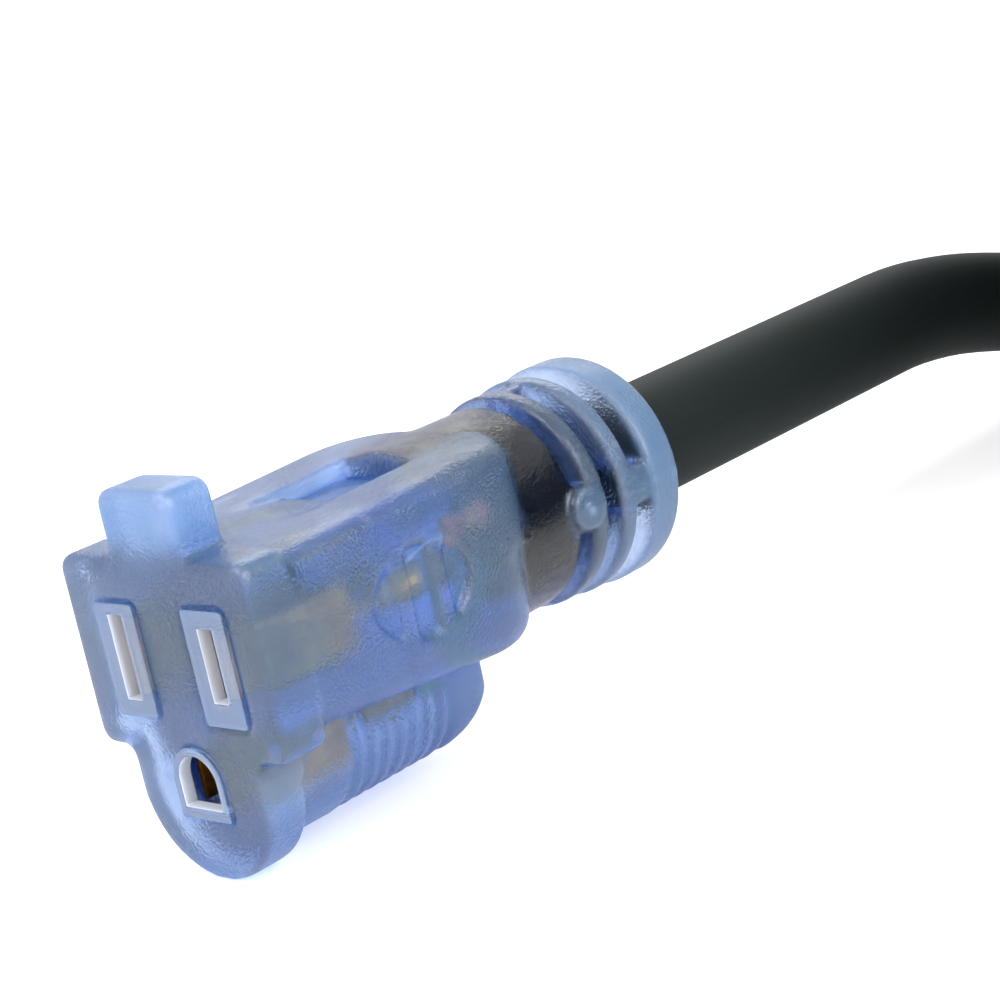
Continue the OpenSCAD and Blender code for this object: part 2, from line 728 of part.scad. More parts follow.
module plug_relief_slot(y, sides) difference() {
    plug_revolve() translate([relief_core_r, y]) square([10, 1.4]);
    translate([0, y + 0.7, 0]) cube(sides ? [60, 4, 3.6] : [3.6, 4, 60], center = true);
}

module plug_shell() plug_place() color([0.45, 0.62, 0.92, 0.6]) difference() {
    union() {
        extrude_y(0, 5) plug_outline(0);
        intersection() {
            extrude_y(0, plug_body_l) plug_outline(-0.5);
            linear_extrude(reach, center = true)
                rounded(-plug_w / 2, plug_w / 2, -8, plug_body_l, 8);
            rotate([90, 0, 90]) linear_extrude(reach, center = true)
                rounded(-9, plug_body_l, -plug_lobe_drop - plug_lobe_r, plug_top, 9);
        }
        plug_revolve() polygon([
            [0, 20], [plug_neck_r, 20], [plug_neck_r, plug_l - 16], [plug_collar_r, plug_l - 5],
            [plug_collar_r, plug_l - 1], [plug_collar_r - 1, plug_l], [0, plug_l]
        ]);
    }
    for (i = [0 : 2]) plug_relief_slot(plug_l - 16 + i * 4, i % 2 == 0);
    bridge_block(fit);
    rod_y(0, 0, cord_r + fit, plug_seat_y - 1, plug_l + 1);
}

// Block that carries the blades and the ground pin, and holds the cores as far as the cord's end
module bridge_block(gap) {
    extrude_y(-bridge_proud, plug_seat_y)
        rounded(-bridge_w / 2 - gap, bridge_w / 2 + gap, -5 - gap, bridge_top + gap, 2.5);
    extrude_y(-bridge_proud, plug_seat_y) translate([0, -ground_drop]) circle(4.6 + gap);
    extrude_y(-bridge_proud, plug_seat_y)
        translate([-3.5 - gap, -ground_drop]) square([7 + 2 * gap, ground_drop]);
}

module plug_bridge() plug_place() color([0.2, 0.21, 0.22]) difference() {
    bridge_block(0);
    for (s = [-1, 1]) translate([s * blade_pitch / 2, 0, 0]) blade_stem(fit);
    rod_y(0, -ground_drop, pin_d / 2 - pin_step + fit, -2, bridge_l + fit);
    for (i = [0 : 2]) plug_core(i, fit);
}

// A blade's shank in the bridge
module blade_stem(gap) translate([-blade_t / 2 - gap, -2, -blade_h / 2 - gap])
    cube([blade_t + 2 * gap, bridge_l + 2 + gap, blade_h + 2 * gap]);

module blade() difference() {
    translate([-blade_t / 2, -blade_l, -blade_h / 2]) cube([blade_t, blade_l + bridge_l, blade_h]);
    translate([0, -blade_l + 4.2, 0]) rotate([0, 90, 0]) cylinder(d = 3.2, h = 10, center = true);
    for (s = [-1, 1]) translate([0, -blade_l, s * blade_h / 2]) rotate([45, 0, 0])
        cube([10, 1.2, 1.2], center = true);
}

module neutral_blade() plug_place() color("khaki") translate([-blade_pitch / 2, 0, 0]) blade();
module hot_blade() plug_place() color("khaki") translate([blade_pitch / 2, 0, 0]) blade();

// The round pin, on a slimmer shank in the bridge
module ground_pin() plug_place() color("khaki") translate([0, 0, -ground_drop]) {
    rod_y(0, 0, pin_d / 2, -pin_l + pin_d / 2, -bridge_proud);
    rod_y(0, 0, pin_d / 2 - pin_step, -bridge_proud - 1, bridge_l);
    translate([0, -pin_l + pin_d / 2, 0]) sphere(d = pin_d);
}

plug_core_l = 10;
plug_seat_y = bridge_l + plug_core_l;
plug_lay = [142, 22, 258];
plug_seats = [for (a = plug_lay) lay_r * [cos(a), sin(a)]];
module plug_core(i, gap) core_run(crimp_at[i], plug_seats[i], bridge_l - gap, plug_seat_y, plug_seat_y + core_seat, core_r + gap);

module plug_neutral_wire() plug_place() color("whitesmoke") plug_core(0, 0);
module plug_hot_wire() plug_place() color([0.12, 0.12, 0.13]) plug_core(1, 0);
module plug_ground_wire() plug_place() color("seagreen") plug_core(2, 0);

module plug_cord_end() plug_place() color([0.13, 0.14, 0.15]) difference() {
    rod_y(0, 0, cord_r, plug_seat_y, plug_l);
    for (seat = plug_seats)
        rod_y(seat[0], seat[1], core_r + fit, plug_seat_y - 1, plug_seat_y + core_seat + fit);
}

// ---------------------------------------------------------------- nodes

connector_shell();
inner_mould();
neutral_sleeve();
hot_sleeve();
ground_sleeve();
neutral_contact();
hot_contact();
ground_contact();
neutral_wire();
hot_wire();
ground_wire();
conductor_ends();
pilot_lamp();
lamp_resistor();
lamp_leads();
cord_end();
cord_lead();
cord_coil();
cord_tail();
coil_straps();
plug_shell();
plug_bridge();
neutral_blade();
hot_blade();
ground_pin();
plug_neutral_wire();
plug_hot_wire();
plug_ground_wire();
plug_cord_end();
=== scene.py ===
"""Moulded 15 A shore power cord: its clear connector, the cord put away as a tied coil, and its plug."""

import logging
import math
from dataclasses import dataclass, field
from enum import Enum
from typing import Callable

import bmesh
import bpy
import numpy as np
import openvdb
from mathutils import Matrix, Vector


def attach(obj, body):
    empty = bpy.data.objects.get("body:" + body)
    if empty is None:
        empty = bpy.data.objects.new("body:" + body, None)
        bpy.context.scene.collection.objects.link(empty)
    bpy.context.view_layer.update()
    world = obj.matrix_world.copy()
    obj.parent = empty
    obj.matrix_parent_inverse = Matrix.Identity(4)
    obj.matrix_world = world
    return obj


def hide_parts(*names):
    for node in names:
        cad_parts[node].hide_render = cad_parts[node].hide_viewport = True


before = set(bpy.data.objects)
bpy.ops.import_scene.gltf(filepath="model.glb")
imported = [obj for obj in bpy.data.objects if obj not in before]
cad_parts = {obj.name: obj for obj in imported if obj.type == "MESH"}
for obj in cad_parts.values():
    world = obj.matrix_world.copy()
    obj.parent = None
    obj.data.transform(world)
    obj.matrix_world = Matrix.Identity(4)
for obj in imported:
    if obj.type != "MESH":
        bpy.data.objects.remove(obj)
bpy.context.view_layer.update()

LOG = logging.getLogger("shore_cord")
MM = 0.001
MERGE = 0.001 * MM
FLAT_ANGLE = math.radians(0.5)
SHARP_ANGLE = math.radians(32)
BEVEL_ANGLE = math.radians(40)
ROOT = "root"
WHITE = "#FFFFFF"

Tree = bpy.types.NodeTree
Node = bpy.types.Node
Socket = bpy.types.NodeSocket
Mesh = bpy.types.Mesh
Piece = bpy.types.Object
Line = list[tuple[float, float]]
Places = tuple[np.ndarray, np.ndarray, np.ndarray]


# -------------------- small helpers


def linear(code: str) -> tuple[float, float, float, float]:
    """Turns an sRGB hex colour such as "#A0B4E6" into linear red, green and blue, and an alpha of 1."""
    parts = [int(code[i : i + 2], 16) / 255 for i in (1, 3, 5)]
    return (*(c / 12.92 if c <= 0.04045 else ((c + 0.055) / 1.055) ** 2.4 for c in parts), 1.0)


def add(tree: Tree, kind: str, inputs: dict | None = None, stops: tuple = (), **settings) -> Node:
    """Adds one node with its settings and links.

    Args:
        tree: The node tree.
        kind: The node's type name.
        inputs: For each input's name or number, its value or what feeds it: a socket, or a node for its
            first output.
        stops: A colour ramp's places from 0 to 1 and their hex colours, in order.
        **settings: The node's own properties.

    Returns:
        The new node.
    """
    node = tree.nodes.new(kind)
    for name, value in settings.items():
        setattr(node, name, value)
    for name, value in (inputs or {}).items():
        source = value.outputs[0] if isinstance(value, Node) else value
        if isinstance(source, Socket):
            tree.links.new(source, node.inputs[name])
        else:
            node.inputs[name].default_value = source
    if stops:
        band = node.color_ramp.elements
        band[0].position, band[-1].position = stops[0][0], stops[-1][0]
        band[0].color, band[-1].color = linear(stops[0][1]), linear(stops[-1][1])
        for place, code in stops[1:-1]:
            band.new(place).color = linear(code)
    return node


def emptied(holder: bpy.types.Material | bpy.types.World) -> Tree:
    """Switches a material's or the world's nodes on and empties them.

    Args:
        holder: The material or the world.

    Returns:
        Its node tree.
    """
    holder.use_nodes = True
    holder.node_tree.nodes.clear()
    return holder.node_tree


def put(name: str, data: bpy.types.ID) -> bpy.types.Object:
    """Puts an object in the scene.

    Args:
        name: Its name.
        data: Its mesh, curve, lamp or camera.

    Returns:
        The object.
    """
    made = bpy.data.objects.new(name, data)
    bpy.context.scene.collection.objects.link(made)
    return made


def new_piece(name: str, mesh: Mesh, slot: str, *nodes: str) -> Piece:
    """Makes a piece from a finished mesh and joins it to the frame.

    Args:
        name: The piece's name.
        mesh: Its mesh, already in place.
        slot: The record's material slot; not used.
        *nodes: The CAD nodes that it stands for.

    Returns:
        The piece.
    """
    piece = put(name, mesh)
    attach(piece, ROOT)
    if nodes:
        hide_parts(*nodes)
    LOG.info("%s: %d faces", name, len(mesh.polygons))
    return piece


def mesh_from(name: str, points: list, faces: list, material: bpy.types.Material) -> Mesh:
    """Makes a smooth-shaded mesh with one material.

    Args:
        name: The mesh's name.
        points: Corner points in metres.
        faces: Corner numbers of each face.
        material: The mesh's material.

    Returns:
        The mesh.
    """
    mesh = bpy.data.meshes.new(name)
    mesh.from_pydata(points, [], faces)
    mesh.update()
    mesh.shade_smooth()
    mesh.materials.append(material)
    return mesh


def clean(mesh: Mesh, merge: bool = False, flats: bool = False, outwards: bool = True) -> Mesh:
    """Cleans a mesh in place.

    Args:
        mesh: The mesh.
        merge: Whether corners in one place become one.
        flats: Whether neighbours in one plane become one face.
        outwards: Whether every face is turned outwards.

    Returns:
        The same mesh.
    """
    work = bmesh.new()
    work.from_mesh(mesh)
    if merge:
        bmesh.ops.remove_doubles(work, verts=work.verts, dist=MERGE)
    if flats:
        bmesh.ops.dissolve_limit(work, angle_limit=FLAT_ANGLE, verts=work.verts, edges=work.edges)
    if outwards:
        bmesh.ops.recalc_face_normals(work, faces=work.faces)
    work.to_mesh(mesh)
    work.free()
    return mesh


# -------------------- finishes


@dataclass(frozen=True)
class Finish:
    """What every finish has: a name, a base colour, a roughness and an index of refraction."""

    name: str
    colour: str
    roughness: float = 0.4
    ior: float = 1.5

    def material(self) -> bpy.types.Material:
        """Builds the finish's material the first time.

        Returns:
            The material.
        """
        made = bpy.data.materials.get(self.name)
        if made is None:
            made = bpy.data.materials.new(self.name)
            tree = emptied(made)
            ends = {"Surface": self.surface(tree), "Volume": self.volume(tree)}
            add(tree, "ShaderNodeOutputMaterial", {name: end for name, end in ends.items() if end})
        return made

    def surface(self, tree: Tree) -> Node:
        """Builds the surface shader and returns it."""
        raise NotImplementedError

    def volume(self, tree: Tree) -> Node | None:
        """Builds the volume shader, where the finish has one, and returns it."""
        return None


@dataclass(frozen=True)
class ClearVinyl(Finish):
    """Clear flexible vinyl, injection moulded: deeper and milkier where thick, spark-eroded grain outside.

    The milky share is milk times the piece's attribute "thick", or milk alone where even is set. Bends are
    Blender's pointiness: about a half where flat, less in creases and more along edges. Creases get more of
    the milky part in a darker blue, a painted shade, and edges a paler blue, a painted highlight.
    """

    depth_colour: str = "#469CE0"
    density: float = 145.0
    milk: float = 0.0
    milk_colour: str = "#86ADD8"
    # Painted shade in creases, a darker and milkier blue, and a painted highlight along edges, a paler blue
    crease_shade: float = 0.3
    crease_shade_colour: str = "#3E72C0"
    edge_highlight_colour: str = "#B4CCF2"
    through: float = 0.25
    even: bool = False
    gloss: float = 0.15
    light_tint: str = WHITE
    wet: bool = False
    grain_mm: float = 0.32
    grain_depth_mm: float = 0.24
    grain_floor: float = 0.3
    patch_mm: float = 9.0
    patch_range: tuple[float, float] = (0.4, 0.65)
    crease_shade_bends: tuple[float, float] = (0.495, 0.455)
    shade_and_highlight_bends: tuple[float, ...] = (0.455, 0.494, 0.508, 0.545)

    def surface(self, tree: Tree) -> Node:
        """Builds refraction under a milky share, and a grain that comes and goes in patches.

        Args:
            tree: The node tree.

        Returns:
            The surface shader.
        """
        if self.wet:
            return add(tree, "ShaderNodeBsdfTransparent", {"Color": linear(WHITE)})
        at = add(tree, "ShaderNodeTexCoord").outputs["Object"]
        fine, broad = 1 / (self.grain_mm * MM), 1 / (self.patch_mm * MM)
        grain = add(tree, "ShaderNodeTexNoise", {"Vector": at, "Scale": fine, "Detail": 2.0})
        patch = add(tree, "ShaderNodeTexNoise", {"Vector": at, "Scale": broad, "Detail": 1.0})
        low, high = self.patch_range
        patch_to = {"Value": patch, "From Min": low, "From Max": high, "To Min": self.grain_floor}
        amount = add(tree, "ShaderNodeMapRange", patch_to)
        depth = self.grain_depth_mm * MM
        bump = add(tree, "ShaderNodeBump", {"Strength": amount, "Distance": depth, "Height": grain})
        skin = {"Roughness": self.roughness, "Specular IOR Level": self.gloss, "Normal": bump}
        clear = {"Base Color": linear(self.colour), "IOR": self.ior, "Transmission Weight": 1.0}
        whole = add(tree, "ShaderNodeBsdfPrincipled", clear | skin)
        if self.milk > 0:
            milky = self.milky(tree, skin)
            whole = add(tree, "ShaderNodeMixShader", {0: self.share(tree), 1: whole, 2: milky})
        # The light that falls on the pieces inside passes straight through, tinted
        shadow = add(tree, "ShaderNodeLightPath").outputs["Is Shadow Ray"]
        straight = add(tree, "ShaderNodeBsdfTransparent", {"Color": linear(self.light_tint)})
        return add(tree, "ShaderNodeMixShader", {0: shadow, 1: whole, 2: straight})

    def share(self, tree: Tree) -> Node | float:
        """Builds the milky share from how thick the vinyl is under the surface, and more of it in creases as
        painted shade.

        Args:
            tree: The node tree.

        Returns:
            The share, or what feeds it.
        """
        if self.even:
            return self.milk
        thick = add(tree, "ShaderNodeAttribute", attribute_name="thick").outputs["Fac"]
        # Painted shade: more of the darker milky part where the surface bends into a crease
        flat, sharp = self.crease_shade_bends
        bend_to = {"Value": self.bend(tree), "From Min": flat, "From Max": sharp, "To Max": self.crease_shade}
        crease_shade = add(tree, "ShaderNodeMapRange", bend_to)
        return add(tree, "ShaderNodeMath", {0: thick, 1: self.milk, 2: crease_shade}, operation="MULTIPLY_ADD")

    def bend(self, tree: Tree) -> Socket:
        """Builds how sharply the surface bends and returns its output."""
        return add(tree, "ShaderNodeNewGeometry").outputs["Pointiness"]

    def milky(self, tree: Tree, skin: dict) -> Node:
        """Builds the milky part: light scattered back and light let through, under the same gloss, with
        painted shade in creases and a painted highlight along edges.

        Args:
            tree: The node tree.
            skin: The shader inputs of the gloss and the grain.

        Returns:
            The milky shader.
        """
        tone: tuple | Node = linear(self.milk_colour)
        if not self.even:
            # Painted shade and painted highlight: a darker blue in creases and a paler blue along edges
            codes = (self.crease_shade_colour, self.milk_colour, self.milk_colour, self.edge_highlight_colour)
            stops = tuple(zip(self.shade_and_highlight_bends, codes))
            tone = add(tree, "ShaderNodeValToRGB", {"Fac": self.bend(tree)}, stops=stops)
        back = add(tree, "ShaderNodeBsdfPrincipled", {"Base Color": tone} | skin)
        through = add(tree, "ShaderNodeBsdfTranslucent", {"Color": tone, "Normal": skin["Normal"]})
        return add(tree, "ShaderNodeMixShader", {0: self.through, 1: back, 2: through})

    def volume(self, tree: Tree) -> Node | None:
        """Builds the absorption that makes thick places bluer, where the vinyl has a density."""
        depth = {"Color": linear(self.depth_colour), "Density": self.density}
        return add(tree, "ShaderNodeVolumeAbsorption", depth) if self.density > 0 else None


@dataclass(frozen=True)
class Opaque(Finish):
    """A finish that lets no light through: one shader fed by the finish's own pattern."""

    metallic: float = 0.0
    sheen: float = 0.0

    def surface(self, tree: Tree) -> Node:
        """Builds one shader over the finish's pattern.

        Args:
            tree: The node tree.

        Returns:
            The surface shader.
        """
        tones, bump = self.pattern(tree)
        body = {"Metallic": self.metallic, "Roughness": self.roughness, "IOR": self.ior}
        skin = {"Base Color": tones, "Sheen Weight": self.sheen, "Normal": bump}
        return add(tree, "ShaderNodeBsdfPrincipled", body | skin)

    def pattern(self, tree: Tree) -> tuple[Node, Node]:
        """Builds the pattern and returns what feeds its colour and its normals."""
        raise NotImplementedError


@dataclass(frozen=True)
class Plastic(Opaque):
    """Opaque moulded or extruded plastic: a fine surface texture and a faint change of tone."""

    tone: str = "#202325"
    texture_mm: float = 0.3
    texture_depth_mm: float = 0.01
    relief: float = 0.6
    stretch: float = 1.0
    cloud_mm: float = 6.0
    cloud_detail: float = 2.0
    cloud_range: tuple[float, float] = (0.3, 0.7)

    def pattern(self, tree: Tree) -> tuple[Node, Node]:
        """Builds the colour and a fine texture, which may be drawn out along y.

        Args:
            tree: The node tree.

        Returns:
            What feeds the colour, and what feeds the normals.
        """
        at = add(tree, "ShaderNodeTexCoord").outputs["Object"]
        drawn = add(tree, "ShaderNodeMapping", {"Vector": at, "Scale": (1.0, self.stretch, 1.0)})
        texture = add(tree, "ShaderNodeTexNoise", {"Vector": drawn, "Scale": 1 / (self.texture_mm * MM)})
        depth = self.texture_depth_mm * MM
        bump = add(tree, "ShaderNodeBump", {"Strength": self.relief, "Distance": depth, "Height": texture})
        return self.tones(tree, at), bump

    def tones(self, tree: Tree, at: Socket) -> Node:
        """Builds two tones that change in clouds.

        Args:
            tree: The node tree.
            at: Where the surface is.

        Returns:
            What feeds the colour.
        """
        size = {"Scale": 1 / (self.cloud_mm * MM), "Detail": self.cloud_detail}
        stops = tuple(zip(self.cloud_range, (self.tone, self.colour)))
        cloud = add(tree, "ShaderNodeTexNoise", {"Vector": at} | size)
        return add(tree, "ShaderNodeValToRGB", {"Fac": cloud}, stops=stops)


@dataclass(frozen=True)
class StampedMetal(Plastic):
    """Sheet metal, rolled and stamped: fine drawn lines along y and small changes of tarnish."""

    metallic: float = 1.0
    texture_mm: float = 0.12
    relief: float = 0.25
    stretch: float = 0.08
    cloud_mm: float = 3.0
    cloud_detail: float = 3.0
    cloud_range: tuple[float, float] = (0.35, 0.65)


@dataclass(frozen=True)
class BandedLacquer(Plastic):
    """Resistor lacquer with painted code bands round it, placed as shares of the body's length."""

    texture_mm: float = 0.5
    texture_depth_mm: float = 0.02
    relief: float = 0.3
    start_y_mm: float = -2.8
    length_mm: float = 5.6
    bands: tuple[str, ...] = ("#5A2A1A", "#2B1A12", "#C8981E", "#B59A4A")
    first_band: float = 0.18
    band_pitch: float = 0.17
    band_width: float = 0.07

    def tones(self, tree: Tree, at: Socket) -> Node:
        """Builds one narrow stripe for each band.

        Args:
            tree: The node tree.
            at: Where the surface is.

        Returns:
            What feeds the colour.
        """
        y = add(tree, "ShaderNodeSeparateXYZ", {"Vector": at}).outputs["Y"]
        start, end = self.start_y_mm * MM, (self.start_y_mm + self.length_mm) * MM
        along = add(tree, "ShaderNodeMapRange", {"Value": y, "From Min": start, "From Max": end})
        stops = [(0.0, self.colour)]
        for i, band in enumerate(self.bands):
            place = self.first_band + self.band_pitch * i
            stops += [(place, band), (place + self.band_width, self.colour)]
        stripes = add(tree, "ShaderNodeValToRGB", {"Fac": along}, stops=tuple(stops))
        stripes.color_ramp.interpolation = "CONSTANT"
        return stripes


@dataclass(frozen=True)
class JacketRubber(Opaque):
    """Extruded cord jacket: satin black with the die's faint lines along it and a slow waviness.

    The rates are repeats per metre, along the cord and round it: lines 60 mm long and 1 mm apart, waves
    11 mm long and 6 mm apart.
    """

    tone: str = "#1C2122"
    line_rates: tuple[float, float] = (16.0, 1000.0)
    wave_rates: tuple[float, float] = (90.0, 160.0)
    line_depth_mm: float = 0.02
    wave_depth_mm: float = 0.08

    def pattern(self, tree: Tree) -> tuple[Node, Node]:
        """Builds lines and waves on the piece's own lengthwise and crosswise attributes.

        Args:
            tree: The node tree.

        Returns:
            What feeds the colour, and what feeds the normals.
        """
        along, around = [
            add(tree, "ShaderNodeAttribute", attribute_name=name).outputs["Fac"]
            for name in ("along", "around")
        ]
        place = add(tree, "ShaderNodeCombineXYZ", {"X": along, "Y": around})
        drawn = add(tree, "ShaderNodeMapping", {"Vector": place, "Scale": (*self.line_rates, 1.0)})
        lines = add(tree, "ShaderNodeTexNoise", {"Vector": drawn, "Scale": 1.0, "Detail": 2.0})
        slow = add(tree, "ShaderNodeMapping", {"Vector": place, "Scale": (*self.wave_rates, 1.0)})
        waves = add(tree, "ShaderNodeTexNoise", {"Vector": slow, "Scale": 1.0, "Detail": 1.0})
        tones = add(tree, "ShaderNodeValToRGB", {"Fac": waves}, stops=((0.3, self.colour), (0.75, self.tone)))
        shallow, deep = self.line_depth_mm * MM, self.wave_depth_mm * MM
        fine = add(tree, "ShaderNodeBump", {"Strength": 0.5, "Distance": shallow, "Height": lines})
        slow_bump = {"Strength": 0.6, "Distance": deep, "Height": waves, "Normal": fine}
        return tones, add(tree, "ShaderNodeBump", slow_bump)


@dataclass(frozen=True)
class WovenWeb(Opaque):
    """Woven polypropylene webbing: matt, with light edges on each thread and painted shade in the grooves.
    Threads are drawn 1.2 mm apart.
    """

    sheen: float = 0.3
    groove_shade: str = "#0E0F10"
    thread_mm: float = 1.2
    thread_depth_mm: float = 0.25
    fuzz_mm: float = 0.25
    fuzz: float = 0.25
    # Blender's wave texture repeats about every 0.32 of a unit at scale 1
    wave_period: float = 0.32

    def pattern(self, tree: Tree) -> tuple[Node, Node]:
        """Builds the weave on the piece's own UV map, which is in metres.

        Args:
            tree: The node tree.

        Returns:
            What feeds the colour, and what feeds the normals.
        """
        at = add(tree, "ShaderNodeUVMap", uv_map="weave")
        scale = self.wave_period / (self.thread_mm * MM)
        warp, weft = [
            add(tree, "ShaderNodeTexWave", {"Vector": at, "Scale": scale}, bands_direction=way).outputs["Fac"]
            for way in ("X", "Y")
        ]
        both = add(tree, "ShaderNodeMath", {0: warp, 1: weft}, operation="MULTIPLY")
        fuzz = add(tree, "ShaderNodeTexNoise", {"Vector": at, "Scale": 1 / (self.fuzz_mm * MM)})
        height = add(tree, "ShaderNodeMath", {0: fuzz, 1: self.fuzz, 2: both}, operation="MULTIPLY_ADD")
        # Painted shade: the grooves between threads are near-black
        tones = add(tree, "ShaderNodeValToRGB", {"Fac": both}, stops=((0.0, self.groove_shade), (0.6, self.colour)))
        depth = self.thread_depth_mm * MM
        bump = add(tree, "ShaderNodeBump", {"Strength": 0.8, "Distance": depth, "Height": height})
        return tones, bump


# Flexible vinyl: clear light blue with a satin grain, deeper blue and milkier where thick, with painted shade
# in creases and a painted highlight along edges
SHELL_VINYL = ClearVinyl("Moulded_blue_vinyl", WHITE, 0.22, 1.52, milk=0.5, light_tint="#BCD4EC")
# The same vinyl cast tight against an insert: no air between them, so the wall itself doesn't show
SHELL_BOND = ClearVinyl("Bonded_blue_vinyl", WHITE, wet=True)
# The same vinyl cast round the crimps first: nothing shows where it meets the shell
INNER_VINYL = ClearVinyl("Cast_blue_vinyl", WHITE, density=0.0, wet=True)
# Moulded polycarbonate, harder and greyer than the vinyl: the sleeves' faint front faces
SLEEVE_FRONT = ClearVinyl(
    "Clear_polycarbonate", WHITE, 0.12, 1.58, density=0.0, milk=0.3,
    milk_colour="#A4BEE4", even=True, grain_mm=1.2, grain_depth_mm=0.02,
)
# Polycarbonate walls of the sleeves' slots, with air before them, painted almost white: painted light in the
# slots and a painted highlight along the sleeves' rounded front edges
SLEEVE_WALL_PAINTED_LIGHT = ClearVinyl(
    "Cut_polycarbonate_painted_light", WHITE, 0.15, 1.58, density=0.0, milk=0.8,
    milk_colour="#F2F6FC", even=True, grain_depth_mm=0.0,
)
# The sleeves' other walls, cast round with vinyl: nothing of them shows
SLEEVE_BOND = ClearVinyl("Bonded_polycarbonate", WHITE, density=0.0, wet=True)
# Stamped brass, lightly tarnished: dull orange-brown blocks inside the blue
CONTACT_BRASS = StampedMetal("Stamped_brass", "#EBA338", 0.35, tone="#BC701A")
# Nickel-plated brass: pale warm metal with faint rolled lines
BLADE_METAL = StampedMetal("Plated_brass_blade", "#C8BFA6", 0.22, tone="#A89C80")
# Bare drawn copper: the cores' ends in their crimps, red-brown with lines as coarse as the strands
COPPER = StampedMetal("Bare_copper_strand", "#C0693C", 0.3, tone="#8A4526", texture_mm=0.3)
# Extruded core insulation, smooth: the white, black and green that show dimly through the mouldings
WHITE_CORE = Plastic("White_core_vinyl", "#D9D9D4", 0.35, tone="#CFCFC9")
BLACK_CORE = Plastic("Black_core_vinyl", "#17181A", 0.35, tone="#101112")
GREEN_CORE = Plastic("Green_core_vinyl", "#34B07A", 0.35, tone="#2A9A68")
# Drawn glass of the pilot lamp: smooth and clear, with a faint warm tint
LAMP_GLASS = ClearVinyl("Lamp_glass", "#FFE9CF", 0.03, 1.5, density=0.0, grain_depth_mm=0.0)
# Copper-clad nickel wire, which seals into glass: two orange-brown rods in the lamp
ELECTRODE = StampedMetal("Nickel_electrode", "#D08A52", 0.35, tone="#B06A38")
# Dipped lacquer on the lamp's resistor: the reddish piece inside the body, ringed with four bands
RESISTOR = BandedLacquer("Banded_lacquer", "#B4523C", 0.3)
# Tinned copper wire: bright grey leads
TINNED = StampedMetal("Tinned_wire", "#C9CBCD", 0.2, tone="#A9ABAD")
# Extruded thermoplastic rubber: near-black satin with soft, wide highlights
JACKET = JacketRubber("Extruded_cord_jacket", "#1A201F", 0.58, 1.2)
# The jacket inside the mouldings: the vinyl wets it, so almost no gloss is left
JACKET_END = Plastic("Jacket_under_vinyl", "#10171D", 0.6, 1.06, tone="#0B1014", texture_mm=0.6)
# Woven polypropylene: matt dark grey with a grid of ribs and painted shade in the grooves between them
STRAP_WEB = WovenWeb("Woven_strap_web", "#3A3D40", 0.75)
# Bonded polyester thread: stitches a little lighter than the web
THREAD = Plastic("Bonded_thread", "#5A5D60", 0.6, tone="#4A4D50", texture_mm=0.2, texture_depth_mm=0.03)
# Moulded resin of the plug's bridge: matt black with a fine texture
BRIDGE = Plastic(
    "Black_bridge_resin", "#1B1C1E", 0.45, tone="#141516", texture_mm=0.25, texture_depth_mm=0.02
)


# -------------------- forms


def refined(node: str, finish: Finish, slot: str, edge_mm: float = 0.0) -> Piece:
    """Dresses a CAD node as a merged, smooth copy with its long edges rounded.

    Args:
        node: The CAD node.
        finish: Its finish.
        slot: The record's material slot.
        edge_mm: Width of the rounded edges, or 0 for none.

    Returns:
        The piece that stands for the node.
    """
    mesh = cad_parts[node].data.copy()
    mesh.materials.clear()
    mesh.materials.append(finish.material())
    clean(mesh, merge=True, flats=True, outwards=False)
    mesh.shade_smooth()
    mesh.set_sharp_from_angle(angle=SHARP_ANGLE)
    piece = new_piece(node + "_form", mesh, slot, node)
    if edge_mm > 0:
        bevel = piece.modifiers.new("rounded edges", "BEVEL")
        bevel.width = edge_mm * MM
        bevel.segments = 2
        bevel.limit_method = "ANGLE"
        bevel.angle_limit = BEVEL_ANGLE
    return piece


def line_mesh(name: str, rows: list[list[Vector]], finish: Finish, body: Callable) -> Mesh:
    """Turns drawn lines into one smooth mesh through Geometry Nodes.

    Args:
        name: The mesh's name.
        rows: Each line's points, in metres.
        finish: The mesh's finish.
        body: Takes the tree and the node that holds the lines, and returns the node that gives them a body.

    Returns:
        The mesh.
    """
    curve = bpy.data.curves.new(name, "CURVE")
    curve.dimensions = "3D"
    for row in rows:
        spline = curve.splines.new("POLY")
        spline.points.add(len(row) - 1)
        for point, at in zip(spline.points, row):
            point.co = (*at, 1.0)
    holder = put(name, curve)
    tree = bpy.data.node_groups.new(name, "GeometryNodeTree")
    for way in ("INPUT", "OUTPUT"):
        tree.interface.new_socket("Geometry", in_out=way, socket_type="NodeSocketGeometry")
    solid = body(tree, add(tree, "NodeGroupInput"))
    smooth = add(tree, "GeometryNodeSetShadeSmooth", {"Geometry": solid})
    real = add(tree, "GeometryNodeRealizeInstances", {"Geometry": smooth})
    done = add(tree, "GeometryNodeSetMaterial", {"Geometry": real, "Material": finish.material()})
    add(tree, "NodeGroupOutput", {"Geometry": done})
    holder.modifiers.new("body", "NODES").node_group = tree
    graph = bpy.context.evaluated_depsgraph_get()
    mesh = bpy.data.meshes.new_from_object(holder.evaluated_get(graph), depsgraph=graph)
    bpy.data.objects.remove(holder)
    mesh.name = name
    return mesh


def places_of(parts: bpy.types.bpy_prop_collection, name: str) -> Places:
    """Reads one vector of each of a mesh's vertices or faces.

    Args:
        parts: The vertices or faces.
        name: The vector's name.

    Returns:
        The vectors' x, y and z.
    """
    values = np.empty(len(parts) * 3, np.float32)
    parts.foreach_get(name, values)
    return tuple(values.reshape(-1, 3).T)


